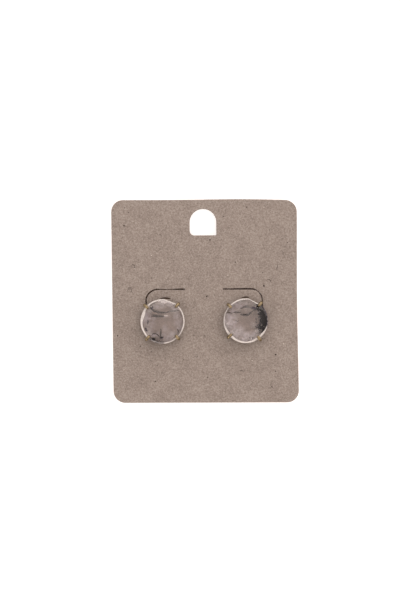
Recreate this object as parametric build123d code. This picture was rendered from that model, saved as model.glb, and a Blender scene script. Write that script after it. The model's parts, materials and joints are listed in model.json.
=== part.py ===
from build123d import *
import math
import os

# A pair of claw-set stud earrings pushed through a kraft display card with a hang hole.
#
# The pieces are drawn in the card's own frame: X across the card, Y up the card towards the hang hole
# and Z out of its face, with the origin in the middle of that face. Each earring also has a frame of its
# own on the face, with Z along its post. The finished pieces are then tipped together into the way the
# loaded card rests on a table: face up, on its hang-hole edge and on the tips of both ear posts.
# There the origin is under the middle of the object, at the height of the table. Sizes are millimetres.

# Card
card_width = 50.0
card_height = 54.8
card_thickness = 0.6
card_corner_radius = 3.2
# The punched holes and slits sit a little to the left of the card's own middle
punch_offset_x = -0.2

# Hang hole: straight sides under a semicircular top, with one of its lower corners rounded
hang_arch_radius = 3.65
hang_arch_y = 21.25
hang_floor_y = 17.75
hang_corner_radius = 0.7

# Slits: one narrow cut above each earring, bent down at its outer end
slit_width = 0.26
slit_y = 3.2
slit_inner_x = 5.1
slit_outer_x = 15.75
slit_bend_radius = 3.1
slit_end_y = -3.0

# Earrings on the card
stud_x = 11.2
stud_y = -5.4
side_signs = {"left": -1, "right": 1}
# Angles of the four claws round each stone, anticlockwise from the card's X
claw_angles = {"left": (47, 137, 228, 313), "right": (49, 137, 223, 307)}
# Clearance between neighbouring pieces
seat_gap = 0.05

# Stone: a low round cabochon with a flat ground base and a narrow bevel round its crown
stone_radius = 6.0
stone_base_radius = 5.55
stone_base_z = 1.9
stone_girdle_z = 2.35
stone_bevel_z = 2.85
stone_crown_radius = 5.7
stone_crown_z = 3.3
stone_top_z = 4.8

# Setting: base ring, seat ring, four claws, cross bar and post, all soldered together
base_ring_radius = 4.5
base_ring_width = 0.9
base_ring_height = 0.7
seat_ring_radius = 5.2
seat_ring_width = 0.7
seat_ring_height = 0.7
ring_rounding = 0.25
cross_bar_width = 0.8
cross_bar_height = 0.4
solder_pad_radius = 1.3
solder_pad_height = 0.45

# Claw: a round wire that leans out to the girdle, stands beside the stone and folds over its crown
claw_wire_radius = 0.43
claw_upright_radius = 6.5
claw_shoulder_z = 2.45
claw_fold_z = 3.75
claw_tip_radius = 5.45
claw_tip_z = 3.85
claw_shoulder_bend = 0.8
claw_fold_bend = 0.5

# Ear post: a straight wire with a friction notch near its domed tip
post_radius = 0.45
post_length = 10.0
post_dome_height = 0.3
notch_start = 7.0
notch_length = 0.8
notch_depth = 0.1
post_hole_radius = 0.6

# Ear nut: a strip with a post hole, its ends rolled into two scrolls that grip the post
nut_strip = 0.3
nut_width = 4.2
nut_corner_radius = 1.5
nut_hole_radius = post_radius + seat_gap
nut_scroll_x = 1.8
nut_scroll_radius = 0.95
nut_curl_radius = 0.45
nut_curl_turn = 210

base_ring_z = seat_gap + base_ring_height / 2
seat_ring_z = stone_base_z - seat_gap - seat_ring_height / 2
post_dome_radius = (post_radius**2 + post_dome_height**2) / (2 * post_dome_height)
nut_curl_x = post_radius + seat_gap + nut_strip / 2 + nut_curl_radius
nut_length = 2 * nut_scroll_x + 2 * nut_scroll_radius + nut_strip


def punched_x(side, x):
    """The place across the card of a feature given for the right-hand earring."""
    return punch_offset_x + side_signs[side] * x


def stud_frame(side):
    """The earring's own frame on the card's face."""
    return Pos(punched_x(side, stud_x), stud_y, 0)


def slit_outline(side):
    """A cut that runs outwards above the earring and bends down behind its stone."""
    route = FilletPolyline(
        (punched_x(side, slit_inner_x), slit_y),
        (punched_x(side, slit_outer_x), slit_y),
        (punched_x(side, slit_outer_x), slit_end_y),
        radius=slit_bend_radius,
    )
    return trace(route, slit_width)


def hang_hole_outline():
    """Straight sides under a semicircular top."""
    left = punch_offset_x - hang_arch_radius
    right = punch_offset_x + hang_arch_radius
    crown = (punch_offset_x, hang_arch_y + hang_arch_radius)
    with BuildSketch() as outline:
        with BuildLine():
            Polyline((left, hang_arch_y), (left, hang_floor_y), (right, hang_floor_y), (right, hang_arch_y))
            ThreePointArc((right, hang_arch_y), crown, (left, hang_arch_y))
        make_face()
        lower_corners = outline.vertices().group_by(Axis.Y)[0].sort_by(Axis.X)
        fillet(lower_corners[0], radius=hang_corner_radius)
    return outline.sketch


def card():
    """A flat board with its hang hole, two slits and two post holes."""
    board = RectangleRounded(card_width, card_height, card_corner_radius) - hang_hole_outline()
    for side in side_signs:
        board -= slit_outline(side)
        board -= stud_frame(side) * Circle(post_hole_radius)
    return extrude(board, -card_thickness)


def stone(clearance=0):
    """A cabochon in the earring's frame, or the room it needs with that much clearance round it."""
    base_z = stone_base_z - clearance
    crown = (stone_crown_radius + clearance, stone_crown_z + clearance)
    top_z = stone_top_z + clearance
    dome_radius = (crown[0] ** 2 + (top_z - crown[1]) ** 2) / (2 * (top_z - crown[1]))
    with BuildPart() as gem:
        with BuildSketch(Plane.XZ):
            with BuildLine():
                Polyline(
                    (0, top_z),
                    (0, base_z),
                    (stone_base_radius + clearance, base_z),
                    (stone_radius + clearance, stone_girdle_z),
                    (stone_radius + clearance, stone_bevel_z),
                    crown,
                )
                RadiusArc(crown, (0, top_z), -dome_radius)
            make_face()
        revolve(axis=Axis.Z)
    return gem.part


def ring(radius, middle_z, width, height):
    """A ring round the earring's axis, of flat strip with rounded edges."""
    with BuildPart() as band:
        with BuildSketch(Plane.XZ):
            with Locations((radius, middle_z)):
                RectangleRounded(width, height, ring_rounding)
        revolve(axis=Axis.Z)
    return band.part


def claw(angle):
    """One claw, from inside the base ring to its rounded tip on the stone's crown."""
    route = FilletPolyline(
        (base_ring_radius, 0, base_ring_z),
        (claw_upright_radius, 0, claw_shoulder_z),
        (claw_upright_radius, 0, claw_fold_z),
        (claw_tip_radius, 0, claw_tip_z),
        radius=[claw_shoulder_bend, claw_fold_bend],
    )
    section = Plane(origin=route @ 0, z_dir=route % 0) * Circle(claw_wire_radius)
    tip = Pos(claw_tip_radius, 0, claw_tip_z) * Sphere(claw_wire_radius)
    return Rot(Z=angle) * (sweep(section, route) + tip)


def ear_post():
    """The post, from inside the solder pad down through the card to its domed tip."""
    foot = (post_radius, base_ring_z)
    notch_top = (post_radius, -notch_start)
    notch_floor = (post_radius - notch_depth, -notch_start - notch_length / 2)
    notch_bottom = (post_radius, -notch_start - notch_length)
    dome_edge = (post_radius, post_dome_height - post_length)
    tip = (0, -post_length)
    with BuildPart() as post:
        with BuildSketch(Plane.XZ):
            with BuildLine():
                Polyline(tip, (0, base_ring_z), foot, notch_top)
                ThreePointArc(notch_top, notch_floor, notch_bottom)
                Line(notch_bottom, dome_edge)
                RadiusArc(dome_edge, tip, post_dome_radius)
            make_face()
        revolve(axis=Axis.Z)
    return post.part


def setting(side):
    """The soldered metal of one earring, with bearings cut for the stone."""
    metal = ring(base_ring_radius, base_ring_z, base_ring_width, base_ring_height)
    metal += Pos(0, 0, base_ring_z) * Box(2 * base_ring_radius, cross_bar_width, cross_bar_height)
    metal += Pos(0, 0, seat_gap + solder_pad_height / 2) * Cylinder(solder_pad_radius, solder_pad_height)
    metal += ear_post()
    for angle in claw_angles[side]:
        metal += claw(angle)
    metal += ring(seat_ring_radius, seat_ring_z, seat_ring_width, seat_ring_height)
    return metal - stone(seat_gap)


def ear_nut():
    """A scrolled friction nut, pushed up against the back of the card."""
    with BuildSketch(Plane.XZ) as strip:
        with BuildLine():
            plate = Line((0, -nut_strip / 2), (nut_scroll_x, -nut_strip / 2))
            scroll = JernArc(plate @ 1, plate % 1, nut_scroll_radius, -180)
            floor = Line(scroll @ 1, (nut_curl_x, (scroll @ 1).Y))
            JernArc(floor @ 1, floor % 1, nut_curl_radius, -nut_curl_turn)
        trace(line_width=nut_strip)
    scroll_half = extrude(strip.sketch, nut_width / 2, both=True)
    nut = scroll_half + mirror(scroll_half, about=Plane.YZ)
    outline = extrude(RectangleRounded(nut_length, nut_width, nut_corner_radius), nut_length, both=True)
    nut = (nut & outline) - Cylinder(nut_hole_radius, nut_length)
    return Pos(0, 0, -card_thickness - seat_gap) * nut


def rest_pose():
    """Tips the loaded card onto its hang-hole edge and both post tips, and sets it on the table."""
    dome_below_back = post_length - post_dome_radius - card_thickness
    reach = card_height / 2 - stud_y
    line_angle = math.atan2(dome_below_back, reach)
    tilt = line_angle + math.asin(post_dome_radius / math.hypot(dome_below_back, reach))
    lift = card_height / 2 * math.sin(tilt) + card_thickness * math.cos(tilt)
    shift = card_thickness / 2 * math.sin(tilt)
    return Pos(0, shift, lift) * Rot(X=-math.degrees(tilt))


def pieces():
    """Every piece in the card's frame, by name."""
    made = {"card": card()}
    for side in side_signs:
        made[f"stone_{side}"] = stud_frame(side) * stone()
        made[f"setting_{side}"] = stud_frame(side) * setting(side)
        made[f"ear_nut_{side}"] = stud_frame(side) * ear_nut()
    return made


os.makedirs("parts", exist_ok=True)
for name, piece in pieces().items():
    export_step(rest_pose() * piece, f"parts/{name}.step")
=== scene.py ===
"""Looks of a pair of claw-set quartz stud earrings on a kraft display card, built round the fixed CAD frame.

Every piece is shaped in the card's own frame, in millimetres: X across the card, Y up the card towards
its hang hole, Z out of its face. Each earring has a frame of its own there, with Z along its post. One
matrix, worked out from the frame's record, then lays everything into the row's metres.
"""

import json
import math
import random

import bpy
import numpy as np
from bpy.props import FloatProperty, FloatVectorProperty, PointerProperty
from mathutils import Matrix, Vector, noise
from mathutils.geometry import delaunay_2d_cdt


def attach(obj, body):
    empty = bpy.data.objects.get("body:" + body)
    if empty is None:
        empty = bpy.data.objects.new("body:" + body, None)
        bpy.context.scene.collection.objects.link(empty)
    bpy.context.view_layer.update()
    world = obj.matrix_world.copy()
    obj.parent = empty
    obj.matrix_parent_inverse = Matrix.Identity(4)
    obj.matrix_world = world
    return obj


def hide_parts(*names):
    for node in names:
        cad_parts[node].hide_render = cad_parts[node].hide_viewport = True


bl_info = {
    "name": "Stud Earrings on a Display Card",
    "version": (1, 0, 0),
    "blender": (4, 5, 0),
    "location": "View3D > Sidebar > Studs",
    "description": "Kraft display card with a pair of claw-set quartz stud earrings",
    "category": "Add Mesh",
}

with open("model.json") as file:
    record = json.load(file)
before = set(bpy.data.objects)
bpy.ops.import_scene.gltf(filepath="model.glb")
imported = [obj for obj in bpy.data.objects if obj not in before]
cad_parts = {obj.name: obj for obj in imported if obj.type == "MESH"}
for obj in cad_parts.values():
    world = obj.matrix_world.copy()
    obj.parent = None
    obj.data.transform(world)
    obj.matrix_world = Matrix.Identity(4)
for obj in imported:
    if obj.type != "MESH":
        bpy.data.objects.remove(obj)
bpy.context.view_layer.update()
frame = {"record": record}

SIDES = {"left": -1, "right": 1}


# ---------------------------------------------------------------- sizes and colours


def linear(code):
    """A hex sRGB colour as linear red, green and blue."""
    channels = [int(code[i : i + 2], 16) / 255 for i in (0, 2, 4)]
    return tuple(c / 12.92 if c <= 0.04045 else ((c + 0.055) / 1.055) ** 2.4 for c in channels)


def length(name, default, description):
    """A length property, in millimetres."""
    return FloatProperty(
        name=name, description=description, default=default, min=0, soft_max=100, precision=3
    )


def place(name, default, description):
    """A position property, in millimetres, on either side of zero."""
    return FloatProperty(name=name, description=description, default=default, precision=3)


def metres(name, default, description):
    """A length property, in metres."""
    return FloatProperty(name=name, description=description, default=default, min=0, unit="LENGTH")


def factor(name, default, description):
    """A plain number property, from 0 up."""
    return FloatProperty(name=name, description=description, default=default, min=0)


def colour(name, code, description):
    """A colour property, given as a hex sRGB colour."""
    return FloatVectorProperty(
        name=name, description=description, default=linear(code), size=3, min=0, max=1, subtype="COLOR"
    )


class CardSettings(bpy.types.PropertyGroup):
    width: length("Width", 50.0, "Width of the card, in mm")
    height: length("Height", 54.8, "Height of the card, in mm")
    thickness: length("Thickness", 0.6, "Thickness of the board, in mm")
    corner_radius: length("Corner radius", 3.2, "Radius of the card's corners, in mm")
    punch_x: place("Punch offset", -0.2, "How far the punched features sit from the card's middle, in mm")
    arch_radius: length("Arch radius", 3.65, "Half the hang hole's width and the radius of its top, in mm")
    arch_fit: length("Arch draw-in", 0.09, "How much the board springs back round the hang hole, in mm")
    arch_y: length("Arch height", 21.25, "Height of the arch's centre over the card's middle, in mm")
    floor_y: length("Hole floor", 17.75, "Height of the hole's flat edge over the card's middle, in mm")
    floor_corner: length("Round corner", 1.25, "Radius of the hang hole's lower left corner, in mm")
    slit_y: length("Slit height", 3.2, "Height of the slits above the card's middle, in mm")
    slit_inner: length("Slit start", 5.1, "Where a slit starts, from the punch axis, in mm")
    slit_outer: length("Slit turn", 15.75, "Where a slit runs down the card, from the punch axis, in mm")
    slit_bend: length("Slit bend", 3.1, "Radius of a slit's bend, in mm")
    slit_end: place("Slit end", -3.0, "Height of a slit's lower end, in mm")
    post_hole: length("Post hole", 0.6, "Radius of the post holes, in mm")
    board: colour("Board", "9a918b", "Kraft board")
    board_light: colour("Light fibre", "c2bcb6", "Pale fibres in the board")
    board_dark: colour("Dark fibre", "6e6661", "Dark fibres in the board")
    fleck: colour("Fleck", "291f1a", "Bark flecks pressed into the board")
    # The slit core colour is the crushed board's own tone, darkened as painted shade in the cuts
    slit_shade_core: colour("Slit core", "4c3a2e", "Crushed board inside the slits")


class StoneSettings(bpy.types.PropertyGroup):
    stud_x: length("Stud place across", 11.2, "Distance of each earring from the punch axis, in mm")
    stud_y: place("Stud place up", -5.4, "Height of the earrings, in mm")
    radius: length("Stone radius", 6.0, "Radius of the stone at its girdle, in mm")
    flat_depth: length("Flat", 0.3, "How much is missing where the stone's outline runs flat, in mm")
    chamfer: length("Base chamfer", 0.45, "Chamfer round the stone's flat base, in mm")
    base_z: length("Base height", 1.9, "Height of the stone's base over the card, in mm")
    girdle_z: length("Girdle foot", 2.35, "Where the girdle starts, in mm")
    bevel_z: length("Bevel foot", 2.85, "Where the bevel starts, in mm")
    crown_radius: length("Crown radius", 5.7, "Radius of the crown's edge, in mm")
    crown_z: length("Crown edge", 3.3, "Height of the crown's edge, in mm")
    top_z: length("Top", 4.8, "Top of the crown, in mm")
    quartz: colour("Quartz", "f5f2f1", "Clear quartz with a faint smoky tint")
    base_tone: colour("Base", "958781", "Smoky ground base of the stone")
    milk: colour("Milk", "ebe5ec", "Milky veils in the quartz")
    frost: colour("Frost", "f2f0ee", "Ground edge of the quartz")
    mineral: colour("Mineral", "1a0a26", "Black manganese dendrites")
    needle: colour("Needle", "1c1312", "Dark needles in the quartz")
    # The crack colour also makes the bright grains that stand as painted glints
    crack: colour("Crack", "e9e2df", "Bright healed cracks")


class MetalSettings(bpy.types.PropertyGroup):
    base_ring: length("Base ring", 4.5, "Middle radius of the ring on the card, in mm")
    base_width: length("Base ring width", 0.9, "Width of the base ring's strip, in mm")
    seat_ring: length("Seat ring", 5.2, "Middle radius of the ring under the stone, in mm")
    seat_width: length("Seat ring width", 0.7, "Width of the seat ring's strip, in mm")
    ring_height: length("Ring height", 0.7, "Height of both rings, in mm")
    rounding: length("Strip rounding", 0.25, "Rounding of the rings' strip, in mm")
    bar_width: length("Cross bar width", 0.8, "Width of the bar across the base ring, in mm")
    bar_height: length("Cross bar height", 0.4, "Height of the bar across the base ring, in mm")
    pad_radius: length("Solder pad", 1.3, "Radius of the solder round the post's foot, in mm")
    pad_height: length("Solder pad height", 0.45, "Height of the solder round the post's foot, in mm")
    claw_fullness: factor("Claw fullness", 1.0, "Thickness of the claws against their usual wire")
    post_radius: length("Post radius", 0.45, "Radius of the ear post, in mm")
    post_length: length("Post length", 10.0, "How far the post reaches behind the card's face, in mm")
    notch_start: length("Notch start", 7.0, "Where the post's notch starts, in mm")
    notch_length: length("Notch length", 0.8, "Length of the post's notch, in mm")
    notch_depth: length("Notch depth", 0.1, "Depth of the post's notch, in mm")
    clearance: length("Clearance", 0.05, "Room between neighbouring pieces, in mm")
    nut_strip: length("Nut strip", 0.3, "Thickness of the ear nut's strip, in mm")
    nut_width: length("Nut width", 4.2, "Width of the ear nut's strip, in mm")
    nut_corner: length("Nut corner", 1.5, "Radius of the ear nut's corners, in mm")
    nut_scroll: length("Nut scroll", 0.95, "Radius of the ear nut's scrolls, in mm")
    nut_scroll_x: length("Nut scroll place", 1.8, "Distance of each scroll from the post, in mm")
    nut_curl: length("Nut curl", 0.45, "Radius of the curled ends that grip the post, in mm")
    grain: length("Metal grain", 0.065, "Cell size used to run the soldered joints together, in mm")
    gold: colour("Gold", "978a70", "Pale gold plate, dulled by handling")
    # The dark tone is tarnish in patches and painted shade low on the setting
    gold_tarnish_and_shade: colour("Dull gold", "68593f", "Tarnish on the gold plate")
    gold_wire: colour("Wire gold", "c2b186", "Gold plate on the ear posts")
    gold_bright: colour("Bright gold", "d8c493", "Tumbled gold plate of the ear nuts")


class StageSettings(bpy.types.PropertyGroup):
    floor: colour("Floor", "f4f4f4", "White table top")
    table_size: metres("Table", 40.0, "Side of the table top, in m")
    floor_glow: factor("Floor glow", 0.55, "Strength of the light from under the table top")
    distance: metres("Camera distance", 0.6, "Distance from the camera to the card, in m")
    frame_height: metres("View height", 0.1619, "Height of the view at the card, in m")
    aim_x: place("Aim across", -1.24, "Point of the card in the middle of the view, in mm")
    aim_y: place("Aim up", 0.28, "Point of the card in the middle of the view, in mm")
    roll: FloatProperty(name="Roll", description="Camera's roll", default=math.radians(0.43), subtype="ANGLE")
    light: colour("Light", "fff0e7", "Warm white of the surround and the softboxes")
    sky: factor("Sky", 0.6, "Strength of the surrounding white")
    glow: factor("Glow", 0.8, "Extra strength of the glow overhead")
    key: factor("Key", 3.0, "Power of the key softbox, in watts")
    fill: factor("Fill", 1.5, "Power of the fill softbox, in watts")
    corner: factor("Corner", 4.3, "Power of the corner softbox, in watts")


def card_matrix():
    """Card millimetres to the row frame's metres, from the hang hole's mount."""
    card = bpy.context.scene.stud_card
    mount = next(m for m in frame["record"]["mounts"] if m["name"] == "hang_hole")
    _, up, out = mount["axis"]
    turn = Matrix.Rotation(-math.atan2(up, out), 4, "X")
    hole = turn @ Vector((card.punch_x, card.arch_y, -card.thickness / 2)) / 1000
    return Matrix.Translation(Vector(mount["pos_m"]) - hole) @ turn @ Matrix.Scale(0.001, 4)


def stud_origin(side):
    """Where an earring's own frame stands on the card."""
    card, stone = bpy.context.scene.stud_card, bpy.context.scene.stud_stone
    return Vector((card.punch_x + SIDES[side] * stone.stud_x, stone.stud_y, 0))


# ---------------------------------------------------------------- tools for shapes
#
# A shape is a list of points and a list of faces that number them.


def smooth_step(low, high, value):
    """0 below low, 1 above high, and a smooth rise between them."""
    t = min(max((value - low) / (high - low), 0.0), 1.0)
    return t * t * (3 - 2 * t)


def read_table(rows, value, period=None):
    """Smoothly reads a short table of (place, amount) rows, round and round if it has a period."""
    rows = sorted(rows)
    if period:
        value %= period
        first, last = rows[0], rows[-1]
        rows = [(last[0] - period, last[1])] + rows + [(first[0] + period, first[1])]
    for (a, low), (b, high) in zip(rows, rows[1:]):
        if a <= value <= b:
            return low + (high - low) * smooth_step(a, b, value)
    return rows[0][1] if value < rows[0][0] else rows[-1][1]


def arc(x, y, radius, start, end, steps):
    """Points on an arc, with its angles in degrees."""
    turns = [math.radians(start + (end - start) * i / steps) for i in range(steps + 1)]
    return [(x + radius * math.cos(t), y + radius * math.sin(t)) for t in turns]


def rounded_box(width, height, radius, steps=5):
    """The outline of a rounded rectangle round (0, 0), anticlockwise."""
    x, y = width / 2 - radius, height / 2 - radius
    loop = []
    for turn, (cx, cy) in enumerate(((x, y), (-x, y), (-x, -y), (x, -y))):
        loop += arc(cx, cy, radius, 90 * turn, 90 * turn + 90, steps)
    return loop


def spaced(loop, spacing):
    """A closed loop with no side longer than the spacing."""
    points = []
    for a, b in zip(loop, loop[1:] + loop[:1]):
        steps = max(1, math.ceil(math.dist(a, b) / spacing))
        points += [(a[0] + (b[0] - a[0]) * i / steps, a[1] + (b[1] - a[1]) * i / steps) for i in range(steps)]
    return points


def smooth_route(corners, steps):
    """A smooth curve through every corner, with that many steps from one to the next."""
    corners = [Vector(c) for c in corners]
    corners = [2 * corners[0] - corners[1]] + corners + [2 * corners[-1] - corners[-2]]
    route = []
    for a, b, c, d in zip(corners, corners[1:], corners[2:], corners[3:]):
        for i in range(steps):
            t = i / steps
            bend = (2 * a - 5 * b + 4 * c - d) * t * t + (3 * b - a - 3 * c + d) * t**3
            route.append(b + ((c - a) * t + bend) / 2)
    return route + [corners[-2]]


def loft(rings, closed=False):
    """A skin over rings of points, with both ends capped unless the rings close on themselves."""
    points = [p for ring in rings for p in ring]
    count = len(rings[0])
    faces = []
    for level in range(len(rings) if closed else len(rings) - 1):
        a, b = level * count, (level + 1) % len(rings) * count
        faces += [(a + i, a + (i + 1) % count, b + (i + 1) % count, b + i) for i in range(count)]
    if not closed:
        faces += [tuple(range(count))[::-1], tuple(range(len(points) - count, len(points)))]
    return points, faces


def joined(shapes):
    """Several shapes as one."""
    points, faces = [], []
    for more_points, more_faces in shapes:
        start = len(points)
        points += more_points
        faces += [tuple(start + i for i in face) for face in more_faces]
    return points, faces


def turned(section, steps=160):
    """A ring turned round the earring's axis from a section of (radius, height) points."""
    angles = [2 * math.pi * i / steps for i in range(steps)]
    return loft([[(r * math.cos(a), r * math.sin(a), z) for r, z in section] for a in angles], closed=True)


def stacked(profile, wobble=0.0):
    """A capped solid turned round the earring's axis from (radius, height) points, top to bottom."""
    steps = 48
    rings = []
    for r, z in profile:
        ring = []
        for i in range(steps):
            a = -2 * math.pi * i / steps
            away = r * (1 + wobble * noise.noise((2 * math.cos(a), 2 * math.sin(a), z)))
            ring.append((away * math.cos(a), away * math.sin(a), z))
        rings.append(ring)
    return loft(rings)


def wire(route, widths, heights, sides, flat=None):
    """A closed wire along a route, from its half width and half height at each point.

    Its width lies along flat if that is given, and level across the route if not.
    """
    rings = []
    last = len(route) - 1
    turns = [2 * math.pi * k / sides for k in range(sides)]
    for i, (here, width, height) in enumerate(zip(route, widths, heights)):
        along = (Vector(route[min(i + 1, last)]) - Vector(route[max(i - 1, 0)])).normalized()
        across = Vector(flat) if flat else along.cross((0, 0, 1)).normalized()
        up = across.cross(along).normalized()
        middle = Vector(here)
        rings.append(
            [tuple(middle + across * (width * math.cos(t)) + up * (height * math.sin(t))) for t in turns]
        )
    return loft(rings)


def plain_object(name, shape):
    """A mesh object left in millimetres, for Blender's modifiers to work on."""
    points, faces = shape
    mesh = bpy.data.meshes.new(name)
    mesh.from_pydata(points, [], faces)
    made = bpy.data.objects.new(name, mesh)
    bpy.context.scene.collection.objects.link(made)
    return made


def finished_shape(made):
    """The shape an object's modifiers give; the object is then taken away."""
    context = bpy.context.evaluated_depsgraph_get()
    mesh = bpy.data.meshes.new_from_object(made.evaluated_get(context))
    shape = [tuple(v.co) for v in mesh.vertices], [tuple(p.vertices) for p in mesh.polygons]
    bpy.data.meshes.remove(mesh)
    bpy.data.meshes.remove(made.data)
    return shape


def melted(shapes, cell, passes):
    """Closed shapes run together into one skin, as solder does, with their edges softened."""
    made = plain_object("melted", joined(shapes))
    remesh = made.modifiers.new("melt", "REMESH")
    remesh.mode = "VOXEL"
    remesh.voxel_size = cell
    soften = made.modifiers.new("soften", "SMOOTH")
    soften.factor = 0.5
    soften.iterations = passes
    return finished_shape(made)


def drilled(shape, cutter):
    """A shape with the cutter's room taken out of it."""
    made, tool = plain_object("drilled", shape), plain_object("cutter", cutter)
    cut = made.modifiers.new("cut", "BOOLEAN")
    cut.operation = "DIFFERENCE"
    cut.solver = "EXACT"
    cut.object = tool
    result = finished_shape(made)
    bpy.data.meshes.remove(tool.data)
    return result


def make_piece(name, shape, materials, slots=None, origin=(0, 0, 0)):
    """A smooth mesh object riding on the body, from a shape in millimetres round a place on the card.

    The slots number each face's material; without them every face has the first.
    """
    matrix = card_matrix() @ Matrix.Translation(Vector(origin))
    points, faces = shape
    mesh = bpy.data.meshes.new(name)
    mesh.from_pydata([matrix @ Vector(p) for p in points], [], faces)
    for material in materials:
        mesh.materials.append(material)
    if slots is not None:
        mesh.polygons.foreach_set("material_index", slots)
    mesh.polygons.foreach_set("use_smooth", [True] * len(mesh.polygons))
    piece = bpy.data.objects.new(name, mesh)
    bpy.context.scene.collection.objects.link(piece)
    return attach(piece, "root")


# ---------------------------------------------------------------- tools for materials


def add_node(tree, kind, inputs=None, **properties):
    """Adds a shader node, sets its properties, and sets or links its inputs by name or number."""
    node = tree.nodes.new("ShaderNode" + kind)
    for name, value in properties.items():
        setattr(node, name, value)
    for key, value in (inputs or {}).items():
        if isinstance(value, bpy.types.NodeSocket):
            tree.links.new(value, node.inputs[key])
        else:
            node.inputs[key].default_value = value
    return node


def new_material(name, values):
    """A material with one Principled shader, its even values set on its own sockets."""
    material = bpy.data.materials.new(name)
    material.use_nodes = True
    tree = material.node_tree
    tree.nodes.clear()
    shader = add_node(tree, "BsdfPrincipled", values)
    add_node(tree, "OutputMaterial", {"Surface": shader.outputs[0]})
    return material, tree, shader


def card_millimetres(tree):
    """Texture coordinates in the card's own frame, in millimetres."""
    matrix = card_matrix()
    where = {
        "Vector": add_node(tree, "TexCoord").outputs["Object"],
        "Location": matrix.translation,
        "Rotation": matrix.to_euler(),
        "Scale": (0.001, 0.001, 0.001),
    }
    return add_node(tree, "Mapping", where, vector_type="TEXTURE").outputs[0]


def opaque(shade):
    """A colour property as a socket's four numbers."""
    return (*shade, 1.0)


# ---------------------------------------------------------------- card

# The cut edge from the face to the back: inset into the board, depth, share of a slit's width, raggedness.
# The cut springs shut inside the board, so a slit is wide at the face, a hair halfway and narrow at the back.
EDGE_ROWS = (
    (0.16, 0.0, 1.0, 0.0),
    (0.05, 0.012, 1.0, 0.01),
    (0.01, 0.05, 1.0, 0.02),
    (0.0, 0.14, 0.9, 0.03),
    (0.0, 0.27, 0.45, 0.035),
    (0.0, 0.36, 0.02, 0.035),
    (0.0, 0.42, 0.02, 0.03),
    (0.0, 0.52, 0.35, 0.025),
    (0.012, 0.58, 0.5, 0.01),
    (0.05, 0.596, 0.5, 0.0),
    (0.16, 0.6, 0.5, 0.0),
)
# Rows of the edge that a shadow dent has, and the share of their inset that it keeps
SHADOW_DENT_ROWS = 5
SHADOW_DENT_INSET = 0.2
# Rows of the edge inside a slit that show dark crushed board, painted shade in the cut
SLIT_SHADE_ROWS = range(1, 8)
# Longest step between points along the card's edges and slits, in mm
EDGE_STEP = 0.3
# Spacing of the points inside the card's face and its back, in mm, and the seed of their jitter
FACE_NET = (0.42, 5)
BACK_NET = (0.7, 3)
# Radius of the hang hole's sharp lower right corner, in mm
SHARP_CORNER = 0.28
# Width of the cut along each slit, as (share of its length from the inner end, mm)
SLIT_WIDTHS = {
    "left": (
        (0.0, 0.22), (0.03, 0.36), (0.15, 0.31), (0.22, 0.1), (0.4, 0.12), (0.48, 0.28), (0.85, 0.34),
        (1.0, 0.28),
    ),
    "right": (
        (0.0, 0.26), (0.06, 0.3), (0.11, 0.22), (0.2, 0.32), (0.54, 0.33), (0.6, 0.09), (0.68, 0.17),
        (0.8, 0.2), (0.86, 0.3), (1.0, 0.2),
    ),
}
# Dents pressed into the card above each stone and lined with dark crushed board, a painted shadow where the
# stone's
# edge shades the card: first and last angle round the earring in degrees, then the radius at each and the
# width, in mm
SHADOW_DENTS = {"left": (97, 70, 6.14, 6.45, 0.38), "right": (99, 81, 6.34, 6.34, 0.3)}
# How far each corner of the card is out of square: right, top, and how far across and up it, in mm
CORNER_DRIFTS = ((0, 0, 0.24, 0.05), (1, 0, 0.3, -0.17), (0, 1, -0.07, 0.04), (1, 1, 0.08, -0.3))
# How far the right edge bows in and the top edge bows out, in mm; the top one bows most towards the right
RIGHT_EDGE_BOW = 0.2
TOP_EDGE_BOW = 0.24
TOP_BOW_LEAN = 1.9
# How far the tongue inside each slit stands off the card's face, and how far from its hinge, in mm
TONGUES = {"left": 0.1, "right": -0.06}
TONGUE_REACH = 3.0
# How far the board's wavy face is lowered, in mm
BOARD_SINK = 0.03
# How far each slit's outer part sits inside its mark, in mm
SLIT_DRIFTS = {"left": 0.16, "right": 0.0}


def inset(loop, amount, ragged, level):
    """Moves a closed loop to its left, which is into the board on every loop here, and tears it unevenly.

    The tears are about 0.4 and 0.15 mm long.
    """
    moved = []
    for before, here, after in zip(loop[-1:] + loop[:-1], loop, loop[1:] + loop[:1]):
        along = (Vector(here) - Vector(before)).normalized() + (Vector(after) - Vector(here)).normalized()
        along.normalize()
        x, y = here
        torn = 1 + noise.noise((x * 2.3, y * 2.3, level * 0.7)) + noise.noise((x * 7, y * 7, level))
        step = amount + ragged * max(torn, 0.0)
        moved.append((x - along.y * step, y + along.x * step))
    return moved


def card_outline():
    """The card's outline, anticlockwise, cut a hair out of square."""
    card = bpy.context.scene.stud_card
    loop = []
    for x, y in spaced(rounded_box(card.width, card.height, card.corner_radius, steps=14), EDGE_STEP):
        over, up = x / card.width + 0.5, y / card.height + 0.5
        for right, top, drift_x, drift_y in CORNER_DRIFTS:
            share = (over if right else 1 - over) * (up if top else 1 - up)
            x, y = x + share * drift_x, y + share * drift_y
        x -= over * RIGHT_EDGE_BOW * math.sin(math.pi * up) ** 2
        y += up * TOP_EDGE_BOW * math.sin(math.pi * max(over, 0.0) ** TOP_BOW_LEAN) ** 2
        loop.append((x, y))
    return loop


def hang_hole_outline():
    """The hang hole, clockwise: its arch, its sharp lower right corner and its rounded lower left one."""
    card = bpy.context.scene.stud_card
    radius = card.arch_radius - card.arch_fit
    left = card.punch_x - card.arch_radius
    right = left + 2 * radius
    loop = arc(left + radius, card.arch_y, radius, 180, 0, 40)
    corners = ((right - SHARP_CORNER, SHARP_CORNER, 0), (left + card.floor_corner, card.floor_corner, 270))
    for x, corner, turn in corners:
        loop += arc(x, card.floor_y + corner, corner, turn, turn - 90, 8)
    return spaced(loop, EDGE_STEP)


def post_hole_outline(side):
    """A post's hole, clockwise."""
    centre = stud_origin(side)
    return arc(centre.x, centre.y, bpy.context.scene.stud_card.post_hole, 360, 0, 24)[:-1]


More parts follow.
